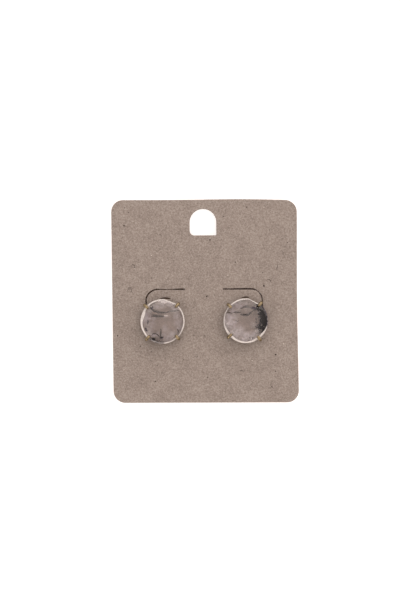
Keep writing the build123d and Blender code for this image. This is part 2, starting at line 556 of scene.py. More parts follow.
def slit_route(side):
    """Points along the middle of a slit from its inner end, each with its left-hand normal and width."""
    card = bpy.context.scene.stud_card
    bend_x = card.slit_outer - card.slit_bend
    bend_y = card.slit_y - card.slit_bend
    steps = math.ceil((bend_x - card.slit_inner) / EDGE_STEP)
    points = [(card.slit_inner + (bend_x - card.slit_inner) * i / steps, card.slit_y) for i in range(steps)]
    points += arc(bend_x, bend_y, card.slit_bend, 90, 0, 18)
    steps = math.ceil((bend_y - card.slit_end) / EDGE_STEP)
    points += [(card.slit_outer, bend_y + (card.slit_end - bend_y) * i / steps) for i in range(1, steps + 1)]
    drift = SLIT_DRIFTS[side] / (card.slit_outer - card.slit_inner)
    across = [x - drift * (x - card.slit_inner) for x, _ in points]
    points = [Vector((card.punch_x + SIDES[side] * x, y)) for x, (_, y) in zip(across, points)]
    last = len(points) - 1
    route = []
    for i, here in enumerate(points):
        along = (points[min(i + 1, last)] - points[max(i - 1, 0)]).normalized()
        normal = Vector((-along.y, along.x))
        # The knife wanders over about 2 mm, and the cut's width varies over about 0.7 mm
        wander = 0.05 * noise.noise((here.x * 0.6, here.y * 0.6, 3.0))
        width = read_table(SLIT_WIDTHS[side], i / last)
        width += 0.04 * noise.noise((here.x * 1.4, here.y * 1.4, 8.0))
        route.append((here + normal * wander, normal, width))
    return route


def shadow_dent_route(side):
    """Points along the middle of a shadow dent, each with its normal and width; it tapers to both ends."""
    start, end, first_radius, last_radius, width = SHADOW_DENTS[side]
    centre = stud_origin(side)
    steps = 16
    route = []
    for i in range(steps + 1):
        turn = math.radians(start + (end - start) * i / steps)
        normal = Vector((math.cos(turn), math.sin(turn)))
        taper = 0.12 + 0.88 * math.sin(math.pi * (i / steps) ** 1.3) ** 0.7
        radius = first_radius + (last_radius - first_radius) * i / steps
        route.append((centre.xy + normal * radius, normal, width * taper))
    return route


def slit_loop(route, amount, share):
    """The slit's outline clockwise, with its width scaled by a share and spread by an amount at each side."""
    left = [tuple(p + n * (w / 2 * share + amount)) for p, n, w in route]
    right = [tuple(p - n * (w / 2 * share + amount)) for p, n, w in route]
    return left + right[::-1]


def tongue_rise(x, y):
    """How far the tongue inside each slit stands off the card: it hinges between the slit's two ends."""
    card = bpy.context.scene.stud_card
    side = "right" if x > card.punch_x else "left"
    x = abs(x - card.punch_x)
    bend_x = card.slit_outer - card.slit_bend
    bend_y = card.slit_y - card.slit_bend
    if not card.slit_inner < x < card.slit_outer or not card.slit_end < y < card.slit_y:
        return 0.0
    if x > bend_x and y > bend_y and math.hypot(x - bend_x, y - bend_y) > card.slit_bend:
        return 0.0
    hinge = Vector((card.slit_outer - card.slit_inner, card.slit_end - card.slit_y)).normalized()
    off = hinge.x * (y - card.slit_y) - hinge.y * (x - card.slit_inner)
    return TONGUES[side] * smooth_step(0, TONGUE_REACH, off)


def board_lift(x, y):
    """Height of the board's face: waves of 8 and 1.4 mm, felt grain of 0.4 mm, and the tongues."""
    waves = 0.03 * noise.noise((x * 0.12, y * 0.12, 0.0)) + 0.012 * noise.noise((x * 0.7, y * 0.7, 5.0))
    return waves + 0.008 * noise.noise((x * 2.7, y * 2.7, 9.0)) + tongue_rise(x, y) - BOARD_SINK


def face_net(loops, spacing, seed):
    """Triangles over the board between its outline, the first loop, and the holes, the other loops."""
    card = bpy.context.scene.stud_card
    draw = random.Random(seed)
    fixed = np.array([p for loop in loops for p in loop])
    # Jittered points in staggered rows, none of them near a loop
    across = np.arange(-card.width / 2, card.width / 2, spacing)
    up = np.arange(-card.height / 2, card.height / 2, spacing * 0.87)
    grid = []
    for row, y in enumerate(up):
        for x in across:
            jitter_x, jitter_y = draw.uniform(-0.25, 0.25), draw.uniform(-0.25, 0.25)
            grid.append((x + (row % 2 / 2 + jitter_x) * spacing, y + jitter_y * spacing))
    grid = np.array(grid)
    clear = np.ones(len(grid), bool)
    # In blocks, to keep the table of distances small
    block = 2000
    for start in range(0, len(grid), block):
        part = grid[start : start + block]
        gaps = np.hypot(part[:, None, 0] - fixed[None, :, 0], part[:, None, 1] - fixed[None, :, 1])
        clear[start : start + block] = gaps.min(1) > spacing * 0.45
    points = [Vector(p) for p in fixed] + [Vector(p) for p in grid[clear]]
    rings, start = [], 0
    for loop in loops:
        ring = list(range(start, start + len(loop)))
        rings.append(ring[::-1] if rings else ring)
        start += len(loop)
    made = delaunay_2d_cdt(points, [], rings, 1, 1e-7, True)
    new_points, faces, old_points, old_faces = made[0], made[2], made[3], made[5]
    if any(len(old) != 1 for old in old_points[: len(fixed)]) or len(new_points) > len(points):
        raise RuntimeError("the card's loops cross each other")
    kept = [f for f, old in zip(faces, old_faces) if set(old) == {0}]
    return [tuple(p) for p in new_points], kept, [old[0] if old else -1 for old in old_points]


def add_loop(points, loop, depth):
    """Adds a loop's points at a depth in the board, and returns the number of its first."""
    points += [(x, y, board_lift(x, y) - depth) for x, y in loop]
    return len(points) - len(loop)


def band(upper, lower, count):
    """The faces between two closed loops of that many points, given the number of each one's first."""
    return [(upper + i, lower + i, lower + (i + 1) % count, upper + (i + 1) % count) for i in range(count)]


def cut_edges(points, faces, slots):
    """Adds the cut edges of the outline, holes and slits.

    Returns each row's loops, the numbers of their first points, and its depth.
    """
    plain = [card_outline(), hang_hole_outline()] + [post_hole_outline(side) for side in SIDES]
    routes = [slit_route(side) for side in SIDES]
    rows = []
    for level, (amount, depth, share, ragged) in enumerate(EDGE_ROWS):
        loops = [inset(loop, amount, ragged, level) for loop in plain]
        loops += [slit_loop(route, amount, share) for route in routes]
        rows.append((loops, [add_loop(points, loop, depth) for loop in loops], depth))
    for level, ((loops, upper, _), (_, lower, _)) in enumerate(zip(rows, rows[1:])):
        for number, loop in enumerate(loops):
            faces += band(upper[number], lower[number], len(loop))
            # Slit walls take the crushed board, darkened as painted shade in the cut
            slots += [int(number >= len(plain) and level in SLIT_SHADE_ROWS)] * len(loop)
    return rows


def press_shadow_dent(route, points, faces, slots):
    """Adds a shadow dent that goes nearly halfway into the board and closes along its middle; returns its
    mouth.
    """
    rows = EDGE_ROWS[:SHADOW_DENT_ROWS]
    loops = [
        slit_loop(route, amount * SHADOW_DENT_INSET, share * (1 - level / SHADOW_DENT_ROWS))
        for level, (amount, _, share, _) in enumerate(rows)
    ]
    starts = [add_loop(points, loop, depth) for loop, (_, depth, _, _) in zip(loops, rows)]
    count = len(loops[0])
    for upper, lower in zip(starts, starts[1:]):
        faces += band(upper, lower, count)
    near, far = starts[-1], starts[-1] + count - 1
    faces += [(near + i, far - i, far - i - 1, near + i + 1) for i in range(count // 2 - 1)]
    # The dent's walls take the dark crushed board: a painted shadow above the stone
    slots += [1] * (count * (SHADOW_DENT_ROWS - 1) + count // 2 - 1)
    return loops[0], starts[0]


def cover(row, net, facing, points, faces, slots):
    """Adds the face or the back of the board between a row's loops; facing is 1 or -1."""
    loops, starts, depth = row
    places, triangles, old = face_net(loops, *net)
    fixed = [start + i for start, loop in zip(starts, loops) for i in range(len(loop))]
    index = {}
    for new in sorted({i for t in triangles for i in t}):
        if 0 <= old[new] < len(fixed):
            index[new] = fixed[old[new]]
        else:
            index[new] = add_loop(points, [places[new]], depth)
    faces += [tuple(index[i] for i in t[::facing]) for t in triangles]
    slots += [0] * len(triangles)


class STUDS_OT_card(bpy.types.Operator):
    """Makes the kraft board with its hang hole, slits and post holes"""

    bl_idname = "studs.card"
    bl_label = "Display Card"

    def execute(self, context):
        points, faces, slots = [], [], []
        rows = cut_edges(points, faces, slots)
        # Dents lined with dark crushed board paint the stones' shadow on the card above them
        for route in [shadow_dent_route(side) for side in SIDES]:
            mouth, start = press_shadow_dent(route, points, faces, slots)
            rows[0][0].append(mouth)
            rows[0][1].append(start)
        cover(rows[0], FACE_NET, 1, points, faces, slots)
        cover(rows[-1], BACK_NET, -1, points, faces, slots)
        piece = make_piece("card_board", (points, faces), [recycled_kraft_board(), shaded_crushed_board()], slots)
        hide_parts("card")
        return {"FINISHED"}


def recycled_kraft_board():
    """Recycled kraft board, felted and calendered: matt, grey-brown, mottled by pale and dark fibres."""
    card = bpy.context.scene.stud_card
    values = {"Roughness": 0.92, "Specular IOR Level": 0.25}
    material, tree, shader = new_material("recycled_kraft_board", values)
    where = card_millimetres(tree)
    tones = card.board, card.board_light, card.board_dark, card.fleck
    board, pale, dark, fleck = [opaque(tone) for tone in tones]
    # Clouds in the pulp, about 4 mm across, over felt grain of about 0.5 mm
    cloud = add_node(tree, "TexNoise", {"Vector": where, "Scale": 0.25, "Detail": 3.0}).outputs[0]
    felt = {"Vector": where, "Scale": 2.1, "Detail": 4.0, "Roughness": 0.75}
    grain = add_node(tree, "TexNoise", felt).outputs[0]
    blend = add_node(tree, "Math", {0: grain, 1: 0.8, 2: 0.0}, operation="MULTIPLY_ADD").outputs[0]
    blend = add_node(tree, "Math", {0: cloud, 1: 0.2, 2: blend}, operation="MULTIPLY_ADD").outputs[0]
    light = add_node(tree, "MapRange", {0: blend, 1: 0.5, 2: 0.76}).outputs[0]
    deep = add_node(tree, "MapRange", {0: blend, 1: 0.5, 2: 0.24}).outputs[0]
    base = add_node(tree, "Mix", {0: light, 6: board, 7: pale}, data_type="RGBA").outputs[2]
    base = add_node(tree, "Mix", {0: deep, 6: base, 7: dark}, data_type="RGBA").outputs[2]
    # Fibres 1 to 3 mm long and about 0.1 mm wide, lying every way
    height = blend
    for turn, tone, share in ((0.3, pale, 0.4), (1.2, dark, 0.4), (2.0, pale, 0.4), (2.8, dark, 0.35)):
        lie = {"Location": (turn * 9, 0, 0), "Rotation": (0, 0, turn), "Scale": (2.2, 0.45, 1)}
        laid = add_node(tree, "Mapping", {"Vector": where, **lie}, vector_type="TEXTURE").outputs[0]
        ridge = add_node(tree, "TexNoise", {"Vector": laid, "Scale": 1.0, "Detail": 1.0}).outputs[0]
        off = add_node(tree, "Math", {0: ridge, 1: 0.5}, operation="SUBTRACT").outputs[0]
        off = add_node(tree, "Math", {0: off}, operation="ABSOLUTE").outputs[0]
        fibre = add_node(tree, "MapRange", {0: off, 1: 0.028, 2: 0.0, 4: share}).outputs[0]
        base = add_node(tree, "Mix", {0: fibre, 6: base, 7: tone}, data_type="RGBA").outputs[2]
        height = add_node(tree, "Math", {0: fibre, 1: 0.6, 2: height}, operation="MULTIPLY_ADD").outputs[0]
    # Bark specks, up to 0.3 mm across, about two to a square centimetre
    cells = add_node(tree, "TexVoronoi", {"Vector": where, "Scale": 0.7})
    lucky = add_node(tree, "SeparateColor", {0: cells.outputs["Color"]}).outputs[0]
    size = add_node(tree, "MapRange", {0: lucky, 1: 0.72, 2: 1.0, 4: 0.13}).outputs[0]
    speck = add_node(tree, "Math", {0: size, 1: cells.outputs["Distance"]}, operation="SUBTRACT").outputs[0]
    speck = add_node(tree, "MapRange", {0: speck, 1: 0.0, 2: 0.03, 4: 0.7}).outputs[0]
    base = add_node(tree, "Mix", {0: speck, 6: base, 7: fleck}, data_type="RGBA").outputs[2]
    tree.links.new(base, shader.inputs["Base Color"])
    bump = add_node(tree, "Bump", {"Height": height, "Distance": 0.00004, "Strength": 0.7})
    tree.links.new(bump.outputs[0], shader.inputs["Normal"])
    return material


def shaded_crushed_board():
    """Board crushed by the cutting rule inside the slits, darkened as painted shade in the cut: dark, matt
    and stringy.
    """
    card = bpy.context.scene.stud_card
    material, tree, shader = new_material("shaded_crushed_board", {"Roughness": 0.97})
    where = card_millimetres(tree)
    # Strands about 0.25 mm apart
    strands = add_node(tree, "TexNoise", {"Vector": where, "Scale": 4.0, "Detail": 3.0}).outputs[0]
    # The core and its darker strands hold painted shade in the cut as well as the crushed board's tone
    core, dark = opaque(card.slit_shade_core), opaque([c * 0.45 for c in card.slit_shade_core])
    mixed = add_node(tree, "Mix", {0: strands, 6: core, 7: dark}, data_type="RGBA").outputs[2]
    tree.links.new(mixed, shader.inputs["Base Color"])
    bump = add_node(tree, "Bump", {"Height": strands, "Distance": 0.00004})
    tree.links.new(bump.outputs[0], shader.inputs["Normal"])
    return material


# Bark flecks on the card's face: place across and up it, and size, in mm
FLECKS = (
    (-21.6, 20.5, 0.42), (1.6, 16.5, 0.42), (-23.6, -9.2, 0.46), (16.0, 4.0, 0.5), (0.6, 1.3, 0.46),
    (19.05, -14.6, 0.46), (-13.5, -21.6, 0.42), (-20.4, 24.1, 0.3), (5.3, 22.8, 0.28), (17.6, 19.0, 0.3),
    (22.5, 15.6, 0.28), (8.4, 10.4, 0.28), (-8.2, 13.1, 0.26), (-23.6, 10.2, 0.3), (-14.4, -13.6, 0.3),
    (-17.5, -12.1, 0.28), (19.05, -19.1, 0.34), (18.0, -23.3, 0.34), (0.63, -20.6, 0.3),
)
# Fibres lying loose on the card's face: their corners, in mm
FIBRES = (
    ((19.9, 9.9), (19.7, 9.1), (19.5, 8.3)),
    ((-19.9, 9.3), (-19.4, 9.9), (-18.8, 9.6), (-18.9, 9.1), (-19.4, 9.2)),
    ((16.8, 5.5), (17.4, 5.7), (17.9, 5.2), (17.5, 4.8)),
    ((-20.9, 2.5), (-20.6, 3.3), (-19.9, 3.4), (-19.6, 2.8), (-20.2, 2.5)),
    ((-20.8, 3.5), (-20.1, 3.8), (-19.5, 3.6)),
    ((21.0, 13.4), (21.3, 12.8), (21.2, 12.2)),
    ((-12.2, 18.1), (-11.7, 17.9), (-11.4, 17.4)),
    ((-2.9, -14.9), (-2.3, -15.1), (-1.9, -14.8)),
    ((9.2, -19.0), (9.9, -18.8), (10.4, -19.2)),
)
# Pale slivers of wood in the card's face: place across and up it, in mm
SLIVERS = ((16.2, 25.2), (21.2, -11.7), (-14.2, 12.4), (6.3, 6.9), (-21.9, -18.4), (12.7, -16.2))
# How far flecks and fibres stand off the board, and how far flecks reach into it, in mm
FLECK_RISE = 0.025
FLECK_ROOT = -0.05
# Seed of the flecks' and slivers' outlines
FLECK_SEED = 11
# Half width of a loose fibre, and size of a sliver, in mm
FIBRE_HALF_WIDTH = 0.05
SLIVER_SIZE = 0.3


def fleck_shape(draw, x, y, size):
    """A thin flake with an uneven outline, pressed into the board."""
    z = board_lift(x, y)
    long_way = draw.uniform(0, math.pi)
    radii = [size / 2 * draw.uniform(0.65, 1.15) for _ in range(9)]
    rings = []
    for rise, share in ((FLECK_ROOT, 1.0), (FLECK_RISE * 0.6, 1.0), (FLECK_RISE, 0.7)):
        ring = []
        for i, radius in enumerate(radii):
            turn = 2 * math.pi * i / len(radii)
            stretched = Vector((radius * math.cos(turn) * 1.25, radius * math.sin(turn) * 0.85)) * share
            stretched.rotate(Matrix.Rotation(long_way, 2))
            ring.append((x + stretched.x, y + stretched.y, z + rise))
        rings.append(ring)
    return loft(rings)


def fibre_shape(corners):
    """A loose fibre, tapering at both ends, that follows the board."""
    route = smooth_route([(x, y, 0) for x, y in corners], 8)
    arch = [math.sin(math.pi * i / (len(route) - 1)) for i in range(len(route))]
    lying = [(p.x, p.y, board_lift(p.x, p.y) + FLECK_RISE * rise) for p, rise in zip(route, arch)]
    widths = [FIBRE_HALF_WIDTH * (0.35 + 0.65 * rise) for rise in arch]
    return wire(lying, widths, widths, sides=6)


class STUDS_OT_flecks(bpy.types.Operator):
    """Makes the bark flecks, loose fibres and pale slivers in the card's face"""

    bl_idname = "studs.flecks"
    bl_label = "Flecks and Fibres"

    def execute(self, context):
        draw = random.Random(FLECK_SEED)
        dark = [fleck_shape(draw, *fleck) for fleck in FLECKS]
        dark += [fibre_shape(corners) for corners in FIBRES]
        pale = [fleck_shape(draw, x, y, SLIVER_SIZE) for x, y in SLIVERS]
        shape = joined(dark + pale)
        dark_faces = sum(len(faces) for _, faces in dark)
        slots = [0] * dark_faces + [1] * (len(shape[1]) - dark_faces)
        card = context.scene.stud_card
        finishes = [wood_fibre("bark", card.fleck), wood_fibre("pale_wood", card.board_light)]
        piece = make_piece("card_flecks", shape, finishes, slots)
        return {"FINISHED"}


def wood_fibre(name, tone):
    """Slivers of bark or wood pressed into the pulp: matt, streaked along the grain."""
    material, tree, shader = new_material(name, {"Roughness": 0.85})
    where = card_millimetres(tree)
    # Streaks about 0.1 mm apart
    streaks = add_node(tree, "TexNoise", {"Vector": where, "Scale": 9.0, "Detail": 2.0}).outputs[0]
    soft = opaque([min(1.0, c * 1.7) for c in tone])
    mixed = add_node(tree, "Mix", {0: streaks, 6: opaque(tone), 7: soft}, data_type="RGBA").outputs[2]
    tree.links.new(mixed, shader.inputs["Base Color"])
    bump = add_node(tree, "Bump", {"Height": streaks, "Distance": 0.00002})
    tree.links.new(bump.outputs[0], shader.inputs["Normal"])
    return material


# ---------------------------------------------------------------- stones

# Width of the ground bevel round each stone, as (degrees anticlockwise from the card's X, mm)
BEVEL_WIDTHS = {
    "left": (
        (0, 0.34), (52, 0.28), (64, 0.26), (78, 0.28), (96, 0.32), (112, 0.4), (128, 0.44), (146, 0.64),
        (160, 0.95), (172, 0.74), (182, 0.54), (204, 0.5), (222, 0.46), (240, 0.36), (270, 0.3), (280, 0.34),
        (300, 0.3), (340, 0.36),
    ),
    "right": (
        (0, 0.24), (60, 0.28), (80, 0.19), (95, 0.28), (120, 0.36), (160, 0.28), (185, 0.34), (205, 0.5),
        (232, 0.62), (250, 0.5), (270, 0.4), (290, 0.42), (303, 0.6), (320, 0.58), (340, 0.28),
    ),
}
# How much more was ground off each stone's outline, as (degrees, mm)
GROUND_IN = {"left": ((130, 0.0), (165, 0.12), (210, 0.1), (240, 0.0)), "right": ((0, 0.0),)}
# Where each stone's outline runs flat, in degrees, and how deep, as a share of the flat depth
FLATS = {"left": (68, 0.66), "right": (64, 1.0)}
# Milky veils in each stone: place across and up it, radii across and up, strength. The left stone's patch at
# (-3.4, -4.1) and the right stone's at (-3.2, 2.7) are painted light that lifts the claws' shade
VEILS_AND_PAINTED_LIGHT = {
    "left": (
        (1.2, 5.1, 3.0, 1.0, 1.0), (-0.2, 4.0, 3.6, 1.5, 0.5), (-4.5, 1.5, 1.9, 2.8, 1.0),
        (1.8, -4.0, 3.0, 2.2, 0.5), (4.4, -0.8, 2.0, 3.4, 0.38), (1.0, 1.5, 0.9, 0.7, 0.2),
        (-3.2, -2.6, 1.4, 1.2, 0.55), (-3.2, -0.9, 2.4, 2.0, 0.34), (-2.3, 0.8, 1.5, 1.0, 0.4),
        (-3.4, 2.8, 1.4, 0.9, 0.5), (-1.8, -3.2, 1.3, 1.0, 0.6), (0.8, -1.8, 1.5, 0.9, 0.25),
        (3.4, 3.5, 2.0, 1.3, 0.6), (-3.4, -4.1, 1.2, 1.0, 0.7), (3.8, 1.7, 1.6, 1.1, 0.5),
    ),
    "right": (
        (-4.4, -0.2, 3.4, 3.2, 0.78), (-2.8, -3.4, 3.7, 3.0, 0.7), (0.8, -4.6, 4.8, 2.6, 0.85),
        (-1.6, 4.0, 4.0, 1.8, 0.62), (3.2, -4.4, 1.4, 1.2, 0.6), (2.2, -1.2, 0.9, 1.0, 0.2),
        (3.6, 2.4, 0.8, 0.5, 0.5), (-3.2, 2.7, 1.5, 1.0, 0.55),
    ),
}
# Haze just under each crown's polish: place across and up it, radii across and up, strength
HAZES = {
    "left": (
        (0.9, 5.4, 2.8, 0.8, 0.78), (2.6, 4.7, 1.5, 0.4, 0.4), (-3.6, 4.1, 0.7, 0.5, 0.6),
        (-0.6, 4.1, 3.2, 1.6, 0.16), (1.0, 1.5, 0.8, 0.35, 0.3), (3.0, -3.6, 1.8, 1.6, 0.18),
        (-4.4, 0.4, 1.2, 2.2, 0.12), (-3.8, -1.6, 1.7, 2.0, 0.18), (-2.2, 4.2, 1.1, 0.8, 0.3),
        (3.2, 3.0, 1.8, 1.2, 0.25), (0.9, -5.1, 0.9, 0.5, 0.2), (-3.6, -3.0, 1.1, 1.1, 0.45),
        (-3.3, 2.8, 1.2, 0.8, 0.3),
    ),
    "right": (
        (-4.6, -0.4, 2.2, 2.9, 0.26), (-2.8, -3.2, 2.8, 2.4, 0.29), (0.8, -4.4, 3.6, 1.8, 0.26),
        (1.8, -5.0, 2.0, 0.5, 0.5), (-4.9, -0.7, 0.55, 0.5, 0.9), (-2.8, 1.4, 2.0, 1.2, 0.16),
        (2.1, -1.0, 0.6, 0.9, 0.16), (-3.7, -3.1, 1.2, 1.1, 0.6), (-0.8, -4.8, 1.6, 0.7, 0.42),
        (-2.0, 2.9, 1.4, 0.7, 0.16), (3.2, -4.1, 1.1, 0.7, 0.4), (0.6, 3.3, 1.6, 1.0, 0.18),
        (0.1, -3.5, 2.2, 1.2, 0.26), (2.9, -2.8, 1.0, 0.9, 0.4),
    ),
}
# Left border of the black mineral in the right-hand stone: (height in the stone, place across it), in mm
MINERAL_BORDER = (
    (-3.8, 5.0), (-3.2, 4.1), (-2.5, 3.5), (-1.8, 3.1), (-1.1, 3.05), (-0.3, 3.6), (0.4, 3.5), (1.2, 3.4),
    (2.2, 3.2), (2.8, 2.9), (3.4, 2.5), (4.1, 2.6), (4.6, 3.4),
)
# Clusters of black mineral in the left-hand stone: place across and up it, radii across and up, strength
MINERAL_CLUSTERS = (
    (-2.4, -4.75, 0.85, 0.7, 1.0), (-1.4, -5.1, 0.8, 0.4, 0.4), (-0.4, -5.3, 0.8, 0.3, 0.2),
    (-0.3, -4.3, 0.7, 0.3, 1.0),
)
# Clear spots in the right-hand stone's mineral: place across and up it, radii across and up, strength
MINERAL_GAPS = (
    (3.6, 2.4, 0.7, 0.45, 0.6), (4.15, -1.15, 0.5, 0.5, 1.0), (5.0, -1.7, 0.6, 0.35, 1.0),
    (3.9, -2.6, 0.9, 0.6, 0.6), (3.6, 0.6, 0.4, 0.6, 0.7), (4.7, -0.5, 0.3, 0.3, 0.3),
)
# How dark each stone's ground edge is, as (degrees, share): black mineral where it reaches the edge, and as
# painted shade the small shares that dim the edge everywhere but round the lower left; a share over 1 fills
# the clear patches too
EDGE_STAIN_AND_SHADE = {
    "left": (
        (0, 0.1), (30, 0.2), (60, 0.12), (80, 0.25), (105, 0.22), (128, 0.2), (140, 0.15), (166, 0.15),
        (180, 0.0), (224, 0.0), (236, 1.0), (254, 1.0), (262, 0.75), (272, 0.85), (276, 0.0), (300, 0.15),
        (325, 0.3), (345, 0.1),
    ),
    "right": (
        (0, 1.2), (42, 1.3), (47, 0.2), (80, 0.25), (100, 0.1), (130, 0.15), (160, 0.32), (188, 0.3),
        (205, 0.0), (310, 0.0), (325, 0.1), (338, 0.2), (346, 1.0), (352, 1.2),
    ),
}


def outline_radius(side, turn):
    """Radius of a stone's girdle at a turn in radians: round but for one flat and a little unevenness."""
    stone = bpy.context.scene.stud_stone
    middle, share = FLATS[side]
    off = (turn - math.radians(middle) + math.pi) % (2 * math.pi) - math.pi
    chord = (stone.radius - share * stone.flat_depth) / max(math.cos(off), 0.5)
    # The flat's two ends are eased by letting the round and the chord meet over a short overlap
    ease = 0.06
    near = max(ease - abs(stone.radius - chord), 0.0) / ease
    # A few slow swells round the outline, up to 0.03 mm deep
    uneven = 0.03 * (0.5 + 0.5 * noise.noise((1.6 * math.cos(turn), 1.6 * math.sin(turn), SIDES[side] * 4.0)))
    uneven += read_table(GROUND_IN[side], math.degrees(turn), 360)
    return min(stone.radius, chord) - near * near * ease / 4 - uneven


def dome_height(radius):
    """Height of the crown over the card at a radius: part of one large ball."""
    stone = bpy.context.scene.stud_stone
    rise = stone.top_z - stone.crown_z
    ball = (stone.crown_radius**2 + rise**2) / (2 * rise)
    return stone.top_z - ball + math.sqrt(ball**2 - min(radius, ball) ** 2)


def blob(x, y, patches):
    """Strength at a place of a list of soft oval patches."""
    total = 0.0
    for px, py, rx, ry, strength in patches:
        total = max(total, strength * (1 - smooth_step(0.3, 1.0, math.hypot((x - px) / rx, (y - py) / ry))))
    return total


def mineral_at(side, x, y):
    """How much black mineral there is at a place in a stone, from 0 to 1, with a ragged border.

    The border is ragged at about 0.8 and 0.2 mm, and the mineral inside it is broken at about 0.5 and 0.2 mm.
    """
    ragged = noise.noise((x * 1.3, y * 1.3, 2.0)) * 0.5 + noise.noise((x * 4.5, y * 4.5, 6.0)) * 0.35
    if side == "left":
        return blob(x + 0.3 * ragged, y + 0.3 * ragged, MINERAL_CLUSTERS)
    inward = x - read_table(MINERAL_BORDER, y)
    broken = 0.5 * noise.noise((x * 2.1, y * 2.1, 13.0)) + 0.45 * noise.noise((x * 5.0, y * 5.0, 17.0))
    amount = 0.76 + broken + 0.35 * smooth_step(0.4, 1.8, inward) - 0.8 * blob(x, y, MINERAL_GAPS)
    inside = smooth_step(-0.1, 0.35, inward + 0.9 * ragged) * smooth_step(-4.0, -3.0, y)
    return inside * smooth_step(0.3, 0.62, amount)


def stain_at(side, x, y, z):
    """Colour channels painted on a stone at a place: black mineral, milky veil and edge stain.

    The veils are clouded at about 1.2 and 0.5 mm, and their outlines drift over about 2 mm. The edge stain is
    patchy at about 0.6 and 0.2 mm; the edge channel holds painted shade as well as the stain.
    """
    cloudy = 1 + 0.8 * noise.noise((x * 0.8, y * 0.8, 3.0)) + 0.9 * noise.noise((x * 2.0, y * 2.0, 7.0))
    drift = [value + 1.1 * noise.noise((x * 0.5, y * 0.5, layer)) for value, layer in ((x, 5.0), (y, 11.0))]
    edge = read_table(EDGE_STAIN_AND_SHADE[side], math.degrees(math.atan2(y, x)), 360)
    patchy = 0.8 + 0.5 * noise.noise((x * 1.6, y * 1.6, z * 1.6))
    patchy += 0.4 * noise.noise((x * 4.5, y * 4.5, z * 4.5))
    return mineral_at(side, x, y), min(1.0, blob(*drift, VEILS_AND_PAINTED_LIGHT[side]) * cloudy), min(1.0, edge * patchy)


def stone_shape(side):
    """A stone's points and faces, and the finish of each face.

    Finishes are 0 polished crown, 1 ground bevel, 2 ground base and 3 ground side.
    """
    stone = bpy.context.scene.stud_stone
    turns, crown_rows, base_rows = 288, 56, 28
    angles = [2 * math.pi * i / turns for i in range(turns)]
    rims = [outline_radius(side, a) for a in angles]
    bevels = [read_table(BEVEL_WIDTHS[side], math.degrees(a), 360) for a in angles]
    points = [(0, 0, dome_height(0))]
    # The finish of the faces above each row of points
    finishes = []

    def add_row(place_at, finish):
        """Adds one row of points round the stone, each placed from its own rim radius and bevel width."""
        for i, a in enumerate(angles):
            r, z = place_at(rims[i], bevels[i])
            x, y = r * math.cos(a), r * math.sin(a)
            # The crown was polished by hand, so it waves a little over about 2 mm
            points.append((x, y, z + 0.012 * noise.noise((x * 0.55, y * 0.55, z)) if finish == 0 else z))
        finishes.append(finish)

    # The crown's rows lie a little closer together towards its edge
    for row in range(1, crown_rows + 1):
        share = (row / crown_rows) ** 0.9
        add_row(lambda rim, bevel: ((rim - bevel) * share, dome_height((rim - bevel) * share)), 0)
    for share, bulge in ((0.1, 0.018), (0.35, 0.02), (0.65, 0.02), (0.9, 0.018)):
        add_row(
            lambda rim, bevel: (
                rim - bevel * (1 - share) + bulge,
                dome_height(rim - bevel) * (1 - share) + stone.bevel_z * share + bulge,
            ),
            1,
        )
    for z in (stone.bevel_z, stone.bevel_z - 0.1, (stone.bevel_z + stone.girdle_z) / 2, stone.girdle_z + 0.1):
        add_row(lambda rim, bevel: (rim, z), 3)
    for share in (0.0, 0.15, 0.5, 0.85):
        add_row(lambda rim, bevel: (rim - stone.chamfer * share, stone.girdle_z - stone.chamfer * share), 3)
    for share in (1.0, 0.985, *(1 - i / base_rows for i in range(1, base_rows))):
        add_row(lambda rim, bevel: ((rim - stone.chamfer) * share, stone.base_z), 3 if share == 1.0 else 2)

    faces = [(0, 1 + i, 1 + (i + 1) % turns) for i in range(turns)]
    slots = [0] * turns
    for row in range(1, len(finishes)):
        a, b = 1 + (row - 1) * turns, 1 + row * turns
        faces += [(a + i, b + i, b + (i + 1) % turns, a + (i + 1) % turns) for i in range(turns)]
        slots += [finishes[row]] * turns
    last = 1 + (len(finishes) - 1) * turns
    points.append((0, 0, stone.base_z))
    faces += [(len(points) - 1, last + (i + 1) % turns, last + i) for i in range(turns)]
    slots += [2] * turns
    return (points, faces), slots


class STUDS_OT_stones(bpy.types.Operator):
    """Makes the two quartz stones, with a polished crown, a ground edge and a ground base"""

    bl_idname = "studs.stones"
    bl_label = "Quartz Stones"

    def execute(self, context):
        finishes = [
            polished_quartz(),
            ground_quartz_edge("ground_quartz_bevel", 0.05),
            ground_quartz_base(),
            ground_quartz_edge("ground_quartz_side", 0.5),
        ]
        for side in SIDES:
            shape, slots = stone_shape(side)
            piece = make_piece(f"stone_{side}_quartz", shape, finishes, slots, stud_origin(side))
            stain = piece.data.color_attributes.new("stain", "FLOAT_COLOR", "POINT")
            # The third channel darkens the ground edge: black mineral, and painted shade by angle
            painted = [(*stain_at(side, *point), 1.0) for point in shape[0]]
            stain.data.foreach_set("color", [channel for row in painted for channel in row])
            haze = piece.data.attributes.new("haze", "FLOAT", "POINT")
            haze.data.foreach_set("value", [blob(x, y, HAZES[side]) for x, y, _ in shape[0]])
            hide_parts(f"stone_{side}")
        return {"FINISHED"}


def stain_channels(tree):
    """The black mineral, milky veil, and edge stain with painted shade, painted on a stone."""
    painted = add_node(tree, "Attribute", attribute_name="stain").outputs["Color"]
    return add_node(tree, "SeparateColor", {0: painted}).outputs


